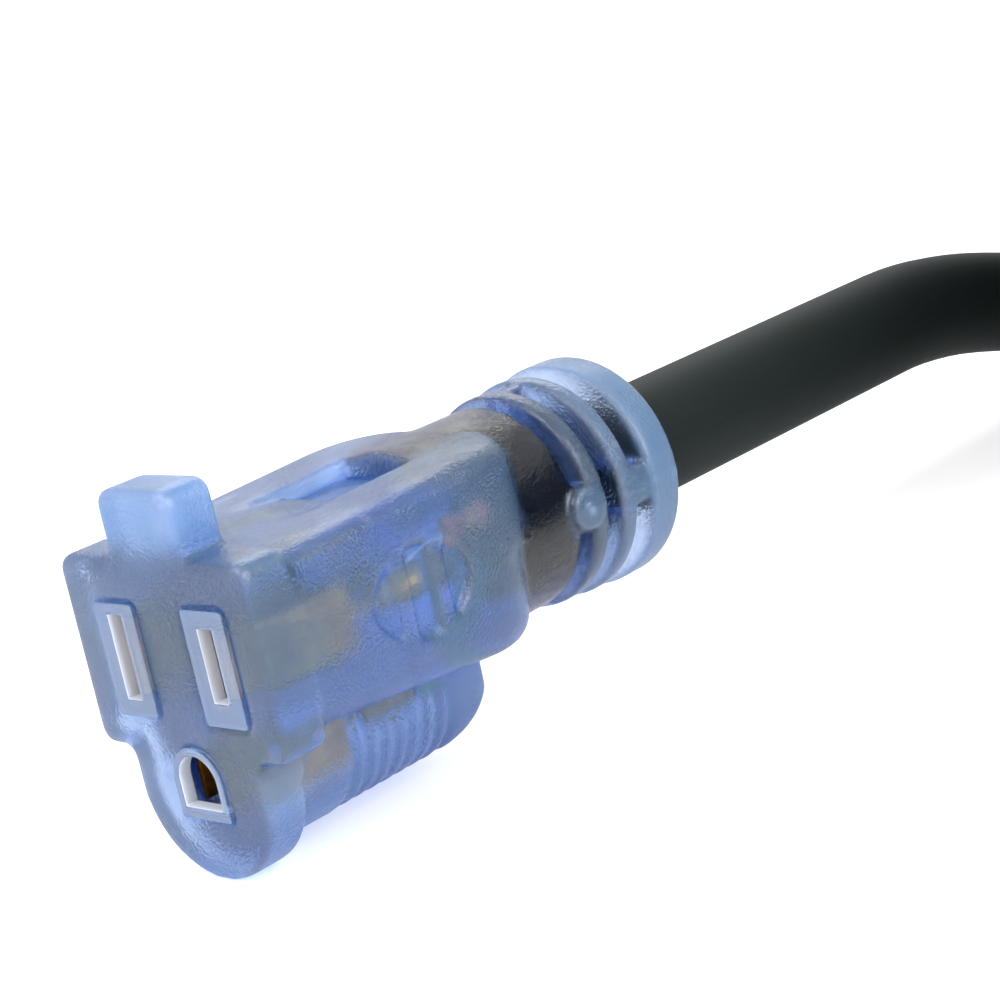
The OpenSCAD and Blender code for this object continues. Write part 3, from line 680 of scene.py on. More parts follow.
def block(at: Places, low: tuple, high: tuple, edge: float = 0.0) -> np.ndarray:
    """Measures how far places are from a box.

    Args:
        at: The places, in metres.
        low: The box's low corner.
        high: Its high corner.
        edge: Radius of its rounded edges.

    Returns:
        The distances, negative inside.
    """
    parts = [np.abs(axis - (a + b) / 2) - ((b - a) / 2 - edge) for axis, a, b in zip(at, low, high)]
    outside = np.sqrt(sum(np.maximum(p, 0) ** 2 for p in parts))
    return outside + np.minimum(np.maximum(np.maximum(parts[0], parts[1]), parts[2]), 0) - edge


def rod_y(at: Places, x: float, z: float, r: float, y0: float, y1: float) -> np.ndarray:
    """Returns how far places are from a cylinder along y, from y0 to y1, negative inside."""
    around = np.sqrt((at[0] - x) ** 2 + (at[2] - z) ** 2) - r
    return np.maximum(around, np.abs(at[1] - (y0 + y1) / 2) - (y1 - y0) / 2)


def prism_x(at: Places, half_x: float, outline: Line) -> np.ndarray:
    """Measures how far places are from a convex prism along x.

    Args:
        at: The places, in metres.
        half_x: Half the prism's length.
        outline: Its y-z outline, counterclockwise.

    Returns:
        The distances, negative inside.
    """
    walls = np.abs(at[0]) - half_x
    for (y0, z0), (y1, z1) in zip(outline, outline[1:] + outline[:1]):
        reach = math.hypot(y1 - y0, z1 - z0)
        walls = np.maximum(walls, ((at[1] - y0) * (z1 - z0) - (at[2] - z0) * (y1 - y0)) / reach)
    return walls


def ease(t: float | np.ndarray) -> float | np.ndarray:
    """Returns a smooth step from 0 to 1."""
    return t * t * (3 - 2 * t)


def ramp(value: np.ndarray, low_mm: float, high_mm: float) -> np.ndarray:
    """Returns a smooth step from 0 at one length to 1 at another, for lengths in metres."""
    return ease(np.clip((value - low_mm * MM) / (high_mm * MM - low_mm * MM), 0, 1))


@dataclass
class MouldedForm:
    """A closed moulding held as signed distances on a grid, from which its soft edges are made.

    The distances start from a CAD node, hollows are filled where the real vinyl is cast against
    what it holds, convex edges are rounded, and open pockets are cut again.
    """

    node: str
    voxel: float = 0.3 * MM
    edge: float = 0.45 * MM
    band: int = 5
    flash_h: float = 0.12 * MM
    flash_half: float = 0.17 * MM
    adaptivity: float = 0.02
    low: np.ndarray = field(init=False)
    values: np.ndarray = field(init=False)
    at: Places = field(init=False)

    def __post_init__(self) -> None:
        """Measures the node's mesh onto the grid."""
        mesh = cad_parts[self.node].data
        points = np.stack(places_of(mesh.vertices, "co"), axis=1)
        mesh.calc_loop_triangles()
        corners = np.empty(len(mesh.loop_triangles) * 3, np.int32)
        mesh.loop_triangles.foreach_get("vertices", corners)
        merged, where = np.unique(np.round(points, 7), axis=0, return_inverse=True)
        margin = self.band + 2
        self.low = np.floor(points.min(0) / self.voxel).astype(int) - margin
        high = np.ceil(points.max(0) / self.voxel).astype(int) + margin
        axes = [np.arange(a, b + 1, dtype=np.float32) * self.voxel for a, b in zip(self.low, high)]
        self.at = tuple(np.meshgrid(*axes, indexing="ij", sparse=True))
        self.values = self.measured(merged, where[corners].reshape(-1, 3))

    def measured(self, points: np.ndarray, triangles: np.ndarray) -> np.ndarray:
        """Measures a closed triangle mesh onto the grid.

        Args:
            points: Its corners, in metres.
            triangles: Corner numbers of each triangle.

        Returns:
            The signed distances.
        """
        grid = openvdb.FloatGrid.createLevelSetFromPolygons(
            points.astype(np.float32), triangles=triangles.astype(np.uint32),
            transform=openvdb.createLinearTransform(voxelSize=self.voxel), halfWidth=float(self.band),
        )
        values = np.full([axis.size for axis in self.at], self.band * self.voxel, np.float32)
        grid.copyToArray(values, ijk=self.low.tolist())
        return values

    def grid(self) -> openvdb.FloatGrid:
        """Puts the distances in a grid, from which surfaces are made.

        Returns:
            The grid.
        """
        made = openvdb.FloatGrid(self.band * self.voxel)
        made.transform = openvdb.createLinearTransform(voxelSize=self.voxel)
        made.copyFromArray(self.values, ijk=self.low.tolist())
        return made

    def fill(self, *forms: np.ndarray) -> None:
        """Adds solid forms."""
        for form in forms:
            self.values = np.minimum(self.values, form.astype(np.float32))

    def cut(self, *forms: np.ndarray) -> None:
        """Takes solid forms away."""
        for form in forms:
            self.values = np.maximum(self.values, -form.astype(np.float32))

    def round_edges(self) -> None:
        """Rounds every convex edge: shrinks the form, measures it again and grows it back."""
        points, triangles, quads = self.grid().convertToPolygons(isovalue=-self.edge, adaptivity=0.0)
        halves = [part for part in (triangles, quads[:, [0, 1, 2]], quads[:, [0, 2, 3]]) if len(part)]
        self.values = self.measured(points, np.vstack(halves)) - self.edge

    def flash(self, z: float, y0: float) -> None:
        """Raises the thin line that the mould's parting plane leaves, behind y0."""
        line = np.maximum(np.abs(self.at[2] - z) - self.flash_half, y0 - self.at[1])
        self.fill(np.maximum(self.values - self.flash_h, line))

    def soften(self) -> None:
        """Blurs the distances by less than a voxel, which also eases the concave corners."""
        for axis in range(3):
            near = np.roll(self.values, 1, axis) + np.roll(self.values, -1, axis)
            self.values = (2 * self.values + near) / 4

    def mesh(self, name: str, finish: Finish) -> Mesh:
        """Turns the form's surface into a mesh.

        Args:
            name: The mesh's name.
            finish: Its finish.

        Returns:
            The mesh, its faces outwards.
        """
        points, triangles, quads = self.grid().convertToPolygons(isovalue=0.0, adaptivity=self.adaptivity)
        faces = [face[::-1] for face in triangles.tolist() + quads.tolist()]
        return clean(mesh_from(name, points.tolist(), faces, finish.material()))


@dataclass(frozen=True)
class Milkiness:
    """How the vinyl's milkiness grows with its depth over what it holds. Depths are millimetres."""

    neck: tuple[float, float] = (4.5, 6.2)
    body: tuple[float, float] = (4.6, 5.1)
    insert: tuple[float, float] = (3.6, 7.5)
    least: float = 0.4

    def mark(
        self, mesh: Mesh, in_neck: np.ndarray | float, over_cord: np.ndarray, over_insert: np.ndarray
    ) -> None:
        """Stores how milky the vinyl looks, from 0 to 1, as the attribute "thick".

        Args:
            mesh: The moulding.
            in_neck: From 0 in the body to 1 in the neck, where the black cord shows through.
            over_cord: Depth of vinyl from each vertex to the cord's end, in metres.
            over_insert: Depth of vinyl from each vertex to the nearest insert, in metres.
        """
        share = np.maximum(ramp(over_cord, *self.neck), (1 - in_neck) * ramp(over_cord, *self.body))
        share *= self.least + (1 - self.least) * ramp(over_insert, *self.insert)
        mesh.attributes.new("thick", "FLOAT", "POINT").data.foreach_set("value", share.astype(np.float32))


# -------------------- connector


@dataclass
class Connector:
    """The clear connector and what is cast into it. Sizes are millimetres in its face frame."""

    length: float = 60.4
    stand: float = 21.8
    axis_z: float = -0.5
    parting_z: float = -0.7
    flange_d: float = 5.6
    cord_r: float = 6.5
    cast_play: float = 0.2
    cast_ahead: float = 0.5
    blade_pitch: float = 12.7
    ground_drop: float = 11.9
    sleeve_half: float = 2.87
    sleeve_top: float = 5.32
    sleeve_bottom: float = 5.87
    sleeve_l: float = 17.0
    sleeve_proud: float = 0.12
    # How far into each slot the walls are painted near-white, as painted light: deeper in the ground hole
    painted_light_l: float = 1.35
    ground_painted_light_l: float = 4.0
    facing: float = 0.95
    face_play: float = 0.1
    wall_play: float = 0.25
    slot_play: float = 0.12
    open_ahead: float = 2.0
    slot_w: float = 2.0
    slot_gap: float = 0.1
    slot_depth: float = 12.0
    neutral_slot_h: float = 8.4
    hot_slot_h: float = 7.1
    ground_r: float = 2.6
    arch_r: float = 3.46
    arch_bottom: float = 3.72
    body_w: float = 25.8
    grip_y: float = 20.75
    grip_l: float = 12.6
    grip_h: float = 8.8
    grip_depth: float = 0.65
    bar_w: float = 2.3
    bar_pitch: float = 4.9
    gate_y: float = 46.3
    gate_ring_r: float = 1.4
    gate_ring_w: float = 0.7
    gate_floor: float = 11.8
    neck_y: float = 40.5
    neck_fade: float = 2.0
    inner_start: float = 16.5
    inner_end: float = 35.0
    inner_half: float = 9.6
    inner_top: float = 7.7
    inner_bottom: float = 5.5
    stem_half: float = 3.8
    stem_bottom: float = 15.4
    stem_turn: float = 27.5
    stem_rise: float = 6.0
    lamp_y: float = 25.4
    lamp_z: float = 5.2
    electrode_x: float = 0.55
    electrode_line: tuple[tuple[float, float], ...] = ((0.6, 0.0), (0.8, 0.28), (4.6, 0.28), (4.8, 0.0))
    electrode_sides: int = 12

    def place(self, x: float, y: float, z: float) -> tuple[float, float, float]:
        """Turns a point of the face frame into metres in the part's frame."""
        return x * MM, (y - self.length / 2) * MM, (z + self.stand) * MM

    def box(self, at: Places, low: tuple, high: tuple) -> np.ndarray:
        """Returns how far places are from a box between two corners in the face frame."""
        return block(at, self.place(*low), self.place(*high))

    def build(self) -> None:
        """Builds the shell and every piece inside it."""
        self.shell()
        refined("inner_mould", INNER_VINYL, "clear_blue_vinyl")
        self.sleeve("neutral_sleeve", self.painted_light_l)
        self.sleeve("hot_sleeve", self.painted_light_l)
        self.sleeve("ground_sleeve", self.ground_painted_light_l)
        for name in ("neutral_contact", "hot_contact", "ground_contact"):
            refined(name, CONTACT_BRASS, "contact_brass", edge_mm=0.06)
        refined("neutral_wire", WHITE_CORE, "white_insulation")
        refined("hot_wire", BLACK_CORE, "black_insulation")
        refined("ground_wire", GREEN_CORE, "green_insulation")
        refined("conductor_ends", COPPER, "copper_strand")
        refined("lamp_resistor", RESISTOR, "resistor_lacquer", edge_mm=0.15)
        refined("lamp_leads", TINNED, "tinned_wire")
        refined("cord_end", JACKET_END, "cord_jacket", edge_mm=0.4)
        refined("pilot_lamp", LAMP_GLASS, "lamp_glass")
        self.electrodes()

    def shell(self) -> None:
        """Builds the outer moulding, solid round what it holds and open only at the three contact sleeves."""
        form = MouldedForm("connector_shell")
        held = rod_y(form.at, *self.cord_seat(self.cast_play, self.cast_ahead))
        form.fill(*self.pockets(form.at, 0.0), self.inner(form.at), held)
        form.round_edges()
        _, seam_y, seam_z = self.place(0, self.flange_d, self.parting_z)
        form.flash(seam_z, seam_y)
        form.cut(*self.slots(form.at), self.grip(form.at), self.gate_ring(form.at))
        form.soften()
        mesh = form.mesh("connector_shell_form", SHELL_VINYL)
        self.wet_slots(mesh)
        at = places_of(mesh.vertices, "co")
        neck = ramp(at[1], self.neck_y - self.neck_fade - self.length / 2, self.neck_y - self.length / 2)
        inserts = np.min([*self.pockets(at, self.open_ahead), self.inner(at)], axis=0)
        Milkiness().mark(mesh, neck, rod_y(at, *self.cord_seat()), inserts)
        new_piece("connector_shell_form", mesh, "clear_blue_vinyl", "connector_shell")

    def inner(self, at: Places) -> np.ndarray:
        """Measures how far places are from the inner mould: its block and the stem below it.

        Args:
            at: The places, in metres.

        Returns:
            The distances, negative inside.
        """
        start, end, low = self.inner_start, self.inner_end, -self.stem_bottom
        stem = [(start, low), (self.stem_turn, low), (end, -self.stem_rise), (end, 0), (start, 0)]
        outline = [self.place(0, y, z)[1:] for y, z in stem]
        high = (self.inner_half, end + self.face_play, self.inner_top)
        main = self.box(at, (-self.inner_half, start, -self.inner_bottom), high)
        return np.minimum(main, prism_x(at, self.stem_half * MM, outline))

    def cord_seat(self, wider: float = 0.0, ahead: float = 0.0) -> tuple[float, float, float, float, float]:
        """Returns the cord's end in the strain relief: its x, z, radius, start and end, in metres."""
        x, start, z = self.place(0, self.inner_end - ahead, self.axis_z)
        return x, z, (self.cord_r + wider) * MM, start, self.place(0, self.length, 0)[1]

    def wet_slots(self, mesh: Mesh) -> None:
        """Gives the shell's slots the bonded finish, as the sleeves line them.

        Args:
            mesh: The shell.
        """
        mesh.materials.append(SHELL_BOND.material())
        wet = np.min(self.slots(places_of(mesh.polygons, "center")), axis=0) < self.slot_play * MM
        mesh.polygons.foreach_set("material_index", wet.astype(np.int32))

    def sleeve(self, node: str, bright: float) -> None:
        """Builds a contact sleeve: a faint front a hair proud of the face with a painted highlight on its
        rounded edges, a slot painted near-white as painted light, and wetted walls.

        Args:
            node: The CAD node.
            bright: How far behind the face the slot's walls are painted near-white, as painted light.
        """
        mesh = refined(node, SLEEVE_FRONT, "clear_insert", edge_mm=0.15).data
        mesh.materials.append(SLEEVE_BOND.material())
        mesh.materials.append(SLEEVE_WALL_PAINTED_LIGHT.material())
        face_y = self.place(0, 0, 0)[1]
        for vertex in mesh.vertices:
            if vertex.co.y < face_y + self.face_play * MM:
                vertex.co.y -= self.sleeve_proud * MM
        centres = places_of(mesh.polygons, "center")
        behind = centres[1] - face_y
        front = (places_of(mesh.polygons, "normal")[1] < -self.facing) & (behind < 0)
        outside = np.min(np.abs(self.pockets(centres, self.open_ahead)), axis=0) < self.wall_play * MM
        wetted = (outside & (behind > self.face_play * MM)) | (behind > bright * MM)
        # Faces neither front nor wetted, the slot's near end and the rounded front edges, are painted
        # near-white: painted light and a painted highlight
        kind = np.where(front, 0, np.where(wetted, 1, 2))
        mesh.polygons.foreach_set("material_index", kind.astype(np.int32))

    def pockets(self, at: Places, ahead: float) -> list[np.ndarray]:
        """Measures how far places are from the three sleeves' outlines.

        Args:
            at: The places, in metres.
            ahead: How far the outlines reach ahead of the socket face.

        Returns:
            The distances to each, negative inside.
        """
        half, end, found = self.sleeve_half, self.sleeve_l, []
        for x in (-self.blade_pitch / 2, self.blade_pitch / 2):
            low, high = (x - half, -ahead, -self.sleeve_bottom), (x + half, end, self.sleeve_top)
            found.append(self.box(at, low, high))
        return found + [self.arch(at, self.arch_r, self.arch_bottom, -ahead, end)]

    def slots(self, at: Places) -> list[np.ndarray]:
        """Measures how far places are from the two blade slots and the ground hole.

        Args:
            at: The places, in metres.

        Returns:
            The distances to each, negative inside.
        """
        half, start, end, found = self.slot_w / 2 + self.slot_gap, -self.open_ahead, self.slot_depth, []
        for side, height in ((-1, self.neutral_slot_h), (1, self.hot_slot_h)):
            x, up = side * self.blade_pitch / 2, height / 2 + self.slot_gap
            found.append(self.box(at, (x - half, start, -up), (x + half, end, up)))
        r = self.ground_r + self.slot_gap
        return found + [self.arch(at, r, r, start, end)]

    def arch(self, at: Places, r: float, down: float, start: float, end: float) -> np.ndarray:
        """Measures how far places are from a round-topped, flat-bottomed hole on the ground line.

        Args:
            at: The places, in metres.
            r: Radius of the round top.
            down: The flat bottom's distance below the ground line.
            start: Where the hole begins behind the socket face.
            end: Where it ends.

        Returns:
            The distances, negative inside.
        """
        low, high = (-r, start, -self.ground_drop - down), (r, end, -self.ground_drop)
        top = rod_y(at, 0, self.place(*high)[2], r * MM, self.place(*low)[1], self.place(*high)[1])
        return np.minimum(top, self.box(at, low, high))

    def grip(self, at: Places) -> np.ndarray:
        """Measures how far places are from the oval finger grips, which leave two upright bars standing.

        Args:
            at: The places, in metres.

        Returns:
            The distances, negative inside.
        """
        _, y, z = self.place(0, self.grip_y, 0)
        along, up = at[1] - y, at[2] - z
        half_l, half_h = self.grip_l / 2 * MM, self.grip_h / 2 * MM
        oval = (np.sqrt((along / half_l) ** 2 + (up / half_h) ** 2) - 1) * half_h
        bars = np.abs(np.abs(along) - self.bar_pitch / 2 * MM) - self.bar_w / 2 * MM
        floor = (self.body_w / 2 - self.grip_depth) * MM - np.abs(at[0])
        return np.maximum(np.maximum(oval, -bars), floor)

    def gate_ring(self, at: Places) -> np.ndarray:
        """Measures how far places are from the round groove in each gate boss.

        Args:
            at: The places, in metres.

        Returns:
            The distances, negative inside.
        """
        _, y, z = self.place(0, self.gate_y, self.axis_z)
        r = np.sqrt((at[1] - y) ** 2 + (at[2] - z) ** 2)
        ring = np.abs(r - self.gate_ring_r * MM) - self.gate_ring_w / 2 * MM
        return np.maximum(ring, self.gate_floor * MM - np.abs(at[0]))

    def electrodes(self) -> None:
        """Turns the pilot lamp's two electrodes: thin rods with pointed ends."""
        points: list[tuple[float, float, float]] = []
        faces: list[tuple[int, ...]] = []
        sides = self.electrode_sides
        for x in (-self.electrode_x, self.electrode_x):
            for station, (y, r) in enumerate(self.electrode_line):
                for k in range(sides):
                    a = 2 * math.pi * k / sides
                    across, up = x + r * math.cos(a), self.lamp_z + r * math.sin(a)
                    here, beside = len(points), len(points) - k + (k + 1) % sides
                    points.append(self.place(across, self.lamp_y + y, up))
                    if station:
                        faces.append((here - sides, here, beside, beside - sides))
        mesh = mesh_from("lamp_electrodes", points, faces, ELECTRODE.material())
        new_piece("lamp_electrodes", clean(mesh, merge=True), "tinned_wire")


# -------------------- cord


@dataclass
class CordRun:
    """The free cord from the connector's strain relief to the plug's. Sizes are millimetres."""

    diameter: float = 13.0
    pitch: float = 13.8
    coil_r: float = 94.0
    layers: int = 5
    layer_turns: float = 2.5
    climb_turns: float = 0.5
    tail_turns: float = 1.0
    centre: tuple[float, float] = (94.0, 166.0)
    coil_z: float = 8.2
    bulge: float = 2.6
    drift: float = 11.5
    lead_start: float = 30.2
    lead_z: float = 21.3
    slope_y: float = 87.0
    slope_l: float = 71.0
    tail_straight: float = 4.0
    plug_z: float = 81.0
    plug_y: float = 154.0
    steps: int = 60
    level_steps: int = 11
    slope_steps: int = 24
    sides: int = 28

    @property
    def wound_turns(self) -> float:
        """Turns from the coil's start to the top layer's end."""
        return self.layers * self.layer_turns + (self.layers - 1) * self.climb_turns

    @property
    def inner_r(self) -> float:
        """Radius of the innermost turn."""
        return self.coil_r - self.layer_turns * self.pitch

    def round_at(self, turns: float, r: float, z: float) -> Vector:
        """Returns the point so many turns round the coil, at a radius and a height."""
        a = math.pi - 2 * math.pi * turns
        return Vector((self.centre[0] + r * math.cos(a), self.centre[1] + r * math.sin(a), z))

    def coil_point(self, turns: float) -> Vector:
        """Finds the cord's centre in the coil: flat layers, wound inwards and outwards by turns.

        Args:
            turns: Turns from the coil's start.

        Returns:
            The point.
        """
        span = self.layer_turns + self.climb_turns
        layer = min(math.floor(turns / span), self.layers - 1)
        t = turns - layer * span
        wound = min(t / self.layer_turns, 1)
        climb = max(0.0, (t - self.layer_turns) / self.climb_turns)
        sign = -1 if layer % 2 == 0 else 1
        start = self.coil_r if sign < 0 else self.inner_r
        moved = (self.coil_r - self.inner_r) * wound
        r = start + sign * moved + sign * self.bulge * math.sin(math.pi * climb)
        return self.round_at(turns, r, self.coil_z + self.pitch * (layer + ease(climb)))

    def tail_point(self, turns: float) -> Vector:
        """Finds the cord's centre on the last turn, which climbs onto the top layer and drifts to the plug.

        Args:
            turns: Turns from the top layer's end.

        Returns:
            The point.
        """
        climb = min(1.0, turns / self.climb_turns)
        drift = ease(max(0.0, (turns - self.climb_turns) / (self.tail_turns - self.climb_turns)))
        r = self.inner_r - self.bulge * math.sin(math.pi * climb) + self.drift * drift
        z = self.coil_z + self.pitch * (self.layers - 1 + ease(climb))
        return self.round_at(self.wound_turns + turns, r, z + (self.plug_z - z) * drift)

    def route(self) -> list[Vector]:
        """Works out the whole free cord's centre line: level, down in one long slope, coil, last turn, plug.

        Returns:
            The line's points, in metres.
        """
        fall = self.coil_z - self.lead_z
        line = [
            Vector((0, y, self.lead_z))
            for y in np.linspace(self.lead_start, self.slope_y, self.level_steps, endpoint=False)
        ]
        line += [
            Vector((0, self.slope_y + self.slope_l * t, self.lead_z + fall * ease(t)))
            for t in np.linspace(0, 1, self.slope_steps + 1)
        ]
        line += [self.coil_point(i / self.steps) for i in range(round(self.wound_turns * self.steps) + 1)]
        line += [self.tail_point(i / self.steps) for i in range(1, round(self.tail_turns * self.steps) + 1)]
        plug_x = self.centre[0] + self.inner_r + self.drift
        line += [Vector((plug_x, y, self.plug_z)) for y in (self.centre[1] - self.tail_straight, self.plug_y)]
        return [p * MM for p in line]

    def swept(self, tree: Tree, line: Node) -> Node:
        """Adds the nodes that sweep the jacket and mark each point's place along and around it.

        Args:
            tree: The Geometry Nodes tree.
            line: The node that holds the line.

        Returns:
            The node that holds the jacket.
        """
        size = {"Resolution": self.sides, "Radius": self.diameter / 2 * MM}
        ends = {"Fill Caps": True}
        ring = add(tree, "GeometryNodeCurvePrimitiveCircle", size)
        for end, name, curve in (("Curve", "along", line), ("Profile Curve", "around", ring)):
            reach = add(tree, "GeometryNodeSplineParameter").outputs["Length"]
            given = {"Geometry": curve, "Name": name, "Value": reach}
            ends[end] = add(tree, "GeometryNodeStoreNamedAttribute", given, data_type="FLOAT", domain="POINT")
        return add(tree, "GeometryNodeCurveToMesh", ends)

    def build(self) -> Piece:
        """Sweeps the jacket along the route and returns it as one piece."""
        mesh = line_mesh("shore_cord", [self.route()], JACKET, self.swept)
        return new_piece("shore_cord", mesh, "cord_jacket", "cord_lead", "cord_coil", "cord_tail")

    def declare(self) -> None:
        route = self.route()


# -------------------- straps


# Where the ties sit round the coil, in degrees
TIE_ANGLES = (20.0, 150.0)


@dataclass
class CoilTie:
    """A web strap drawn tight round the bundle of turns, its end lapped over and stitched.

    Lines lie in the radial plane at the strap's angle: distance from the coil's centre, and height.
    """

    number: int
    angle: float
    run: CordRun
    width: float = 20.0
    thick: float = 1.2
    lift: float = 0.25
    lap: float = 46.0
    lap_gap: float = 0.05
    step: float = 2.0
    hull_sides: int = 40
    reach: float = 2.0
    upright: float = 0.97
    edge: float = 0.45
    edge_x: float = 0.12
    edge_z: float = 0.15
    box_start: float = 4.0
    box_end: float = 22.0
    box_inset: float = 3.0
    stitch: float = 2.6
    thread: float = 0.7
    thread_lift: float = 0.3

    def in_frame(self, x: float, across: float, z: float) -> Vector:
        """Turns a point of the strap's radial plane into metres in the part's frame."""
        turn = Matrix.Rotation(math.radians(self.angle), 3, "Z")
        return (turn @ Vector((x, across, z)) + Vector((*self.run.centre, 0))) * MM

    def loop(self) -> Line:
        """Finds the strap's inner line: the hull round every turn that it holds.

        Returns:
            The line, in millimetres.
        """
        turn = Matrix.Rotation(-math.radians(self.angle), 3, "Z")
        centre = Vector((*self.run.centre, 0))
        r = self.run.diameter / 2 + self.lift
        marks = []
        for p in self.run.route():
            local = turn @ (p / MM - centre)
            if local.x > 0 and abs(local.y) < self.width / 2 + self.reach:
                for k in range(self.hull_sides):
                    a = 2 * math.pi * k / self.hull_sides
                    marks.append((local.x + r * math.cos(a), local.z + r * math.sin(a)))
        marks.sort()
        hull: Line = []
        for ordered in (marks, marks[::-1]):
            half: Line = []
            for p in ordered:
                while len(half) > 1 and self.turns_right(half[-2], half[-1], p):
                    half.pop()
                half.append(p)
            hull += half[:-1]
        return self.even(hull)

    @staticmethod
    def turns_right(a: tuple, b: tuple, c: tuple) -> bool:
        """Tells whether the corner at b doesn't turn left."""
        return (b[0] - a[0]) * (c[1] - a[1]) - (b[1] - a[1]) * (c[0] - a[0]) <= 0

    def even(self, line: Line) -> Line:
        """Spaces a closed line's points evenly.

        Args:
            line: The line, counterclockwise.

        Returns:
            The line with new points.
        """
        closed = np.array(line + line[:1])
        reach = np.concatenate([[0], np.cumsum(np.linalg.norm(np.diff(closed, axis=0), axis=1))])
        count = round(reach[-1] / self.step)
        wanted = np.arange(count) * reach[-1] / count
        return list(zip(np.interp(wanted, reach, closed[:, 0]), np.interp(wanted, reach, closed[:, 1])))

    def lap_line(self) -> Line:
        """Finds the stretch of the loop up the coil's outer side that the free end covers.

        Returns:
            The stretch, in millimetres.
        """
        line = self.loop()
        side = [p for p, q in zip(line, line[1:] + line[:1]) if q[1] - p[1] > self.upright * math.dist(p, q)]
        steps = round(self.lap / self.step)
        spare = max(0, len(side) - 1 - steps) // 2
        return side[spare : spare + steps + 1]

    def section(self) -> Line:
        """Works out the web's cross-section.

        Returns:
            Its points: distance across the web, and height over its inner face.
        """
        half, t = self.width / 2, self.thick
        inner, bend = half - self.edge, half - self.edge_x
        right = [(inner, 0), (bend, self.edge_z), (half, t / 2), (bend, t - self.edge_z), (inner, t)]
        return [(-inner, 0)] + right + [(0, t)] + [(-x, z) for x, z in right[:0:-1]]

    def strip(self, name: str, line: Line, out: float, closed: bool, *nodes: str) -> Piece:
        """Makes a flat strip of web along a line.

        Args:
            name: The piece's name.
            line: The strip's line, counterclockwise.
            out: Distance from the line to the strip's inner face.
            closed: Whether the strip is a loop.
            *nodes: CAD nodes that the piece stands for.

        Returns:
            The piece.
        """
        section = self.section()
        count, size = len(line), len(section)
        spans = count if closed else count - 1
        points, faces, gone = [], [], [0.0]
        for i, (x, z) in enumerate(line):
            before = line[i - 1] if closed or i else line[i]
            after = line[(i + 1) % count] if closed or i < spans else line[i]
            along = Vector((after[0] - before[0], after[1] - before[1])).normalized()
            for across, height in section:
                far = out + height
                points.append(self.in_frame(x + along.y * far, across, z - along.x * far))
            gone.append(gone[-1] + math.dist(line[i], line[(i + 1) % count]))
        for i in range(spans):
            here, there = i * size, (i + 1) % count * size
            for k in range(size):
                beside = (k + 1) % size
                faces.append((here + k, here + beside, there + beside, there + k))
        if not closed:
            faces += [tuple(range(size)), tuple(range(spans * size, count * size))]
        mesh = mesh_from(name, points, faces, STRAP_WEB.material())
        weave = mesh.uv_layers.new(name="weave")
        for face in mesh.polygons:
            span = min(face.index // size, spans - 1)
            for loop in face.loop_indices:
                row, k = divmod(mesh.loops[loop].vertex_index, size)
                reach = gone[span] if row == span else gone[span + 1]
                weave.data[loop].uv = (reach * MM, section[k][0] * MM)
        return new_piece(name, clean(mesh), "strap_web", *nodes)

    def beads(self, tree: Tree, line: Node) -> Node:
        """Adds the nodes that lay one long bead for each stitch.

        Args:
            tree: The Geometry Nodes tree.
            line: The node that holds the lines.

        Returns:
            The node that holds the stitches.
        """
        step, thread = self.stitch * MM, self.thread * MM
        spots = add(tree, "GeometryNodeCurveToPoints", {"Curve": line, "Length": step}, mode="LENGTH")
        bead = add(tree, "GeometryNodeMeshUVSphere", {"Segments": 8, "Rings": 6, "Radius": 0.5})
        turned = {"Rotation": spots.outputs["Rotation"], "Scale": (thread, thread, step)}
        return add(tree, "GeometryNodeInstanceOnPoints", {"Points": spots, "Instance": bead} | turned)

    def stitches(self, line: Line) -> Piece:
        """Sews a box with a cross through the lapped end.

        Args:
            line: The lapped end's line.

        Returns:
            The piece.
        """
        foot = Vector(line[0])
        along = (Vector(line[-1]) - foot).normalized()
        out = Vector((along.y, -along.x)) * (2 * self.thick + self.thread_lift)
        half, near, far = self.width / 2 - self.box_inset, self.box_start, self.box_end
        corners = []
        for reach, across in ((near, -half), (far, -half), (far, half), (near, half)):
            x, z = foot + along * reach + out
            corners.append(self.in_frame(x, across, z))
        rows = [corners + corners[:1], corners[::2], corners[1::2]]
        name = f"strap_stitches_{self.number}"
        return new_piece(name, line_mesh(name, rows, THREAD, self.beads), "strap_web")

    def build(self) -> list[Piece]:
        """Builds the loop, its lapped end and the stitches.

        Returns:
            The three pieces.
        """
        nodes = ("coil_straps",) if self.number == 1 else ()
        line = self.lap_line()
        return [
            self.strip(f"strap_loop_{self.number}", self.loop(), 0.0, True, *nodes),
            self.strip(f"strap_end_{self.number}", line, self.thick + self.lap_gap, False),
            self.stitches(line),
        ]


# -------------------- plug


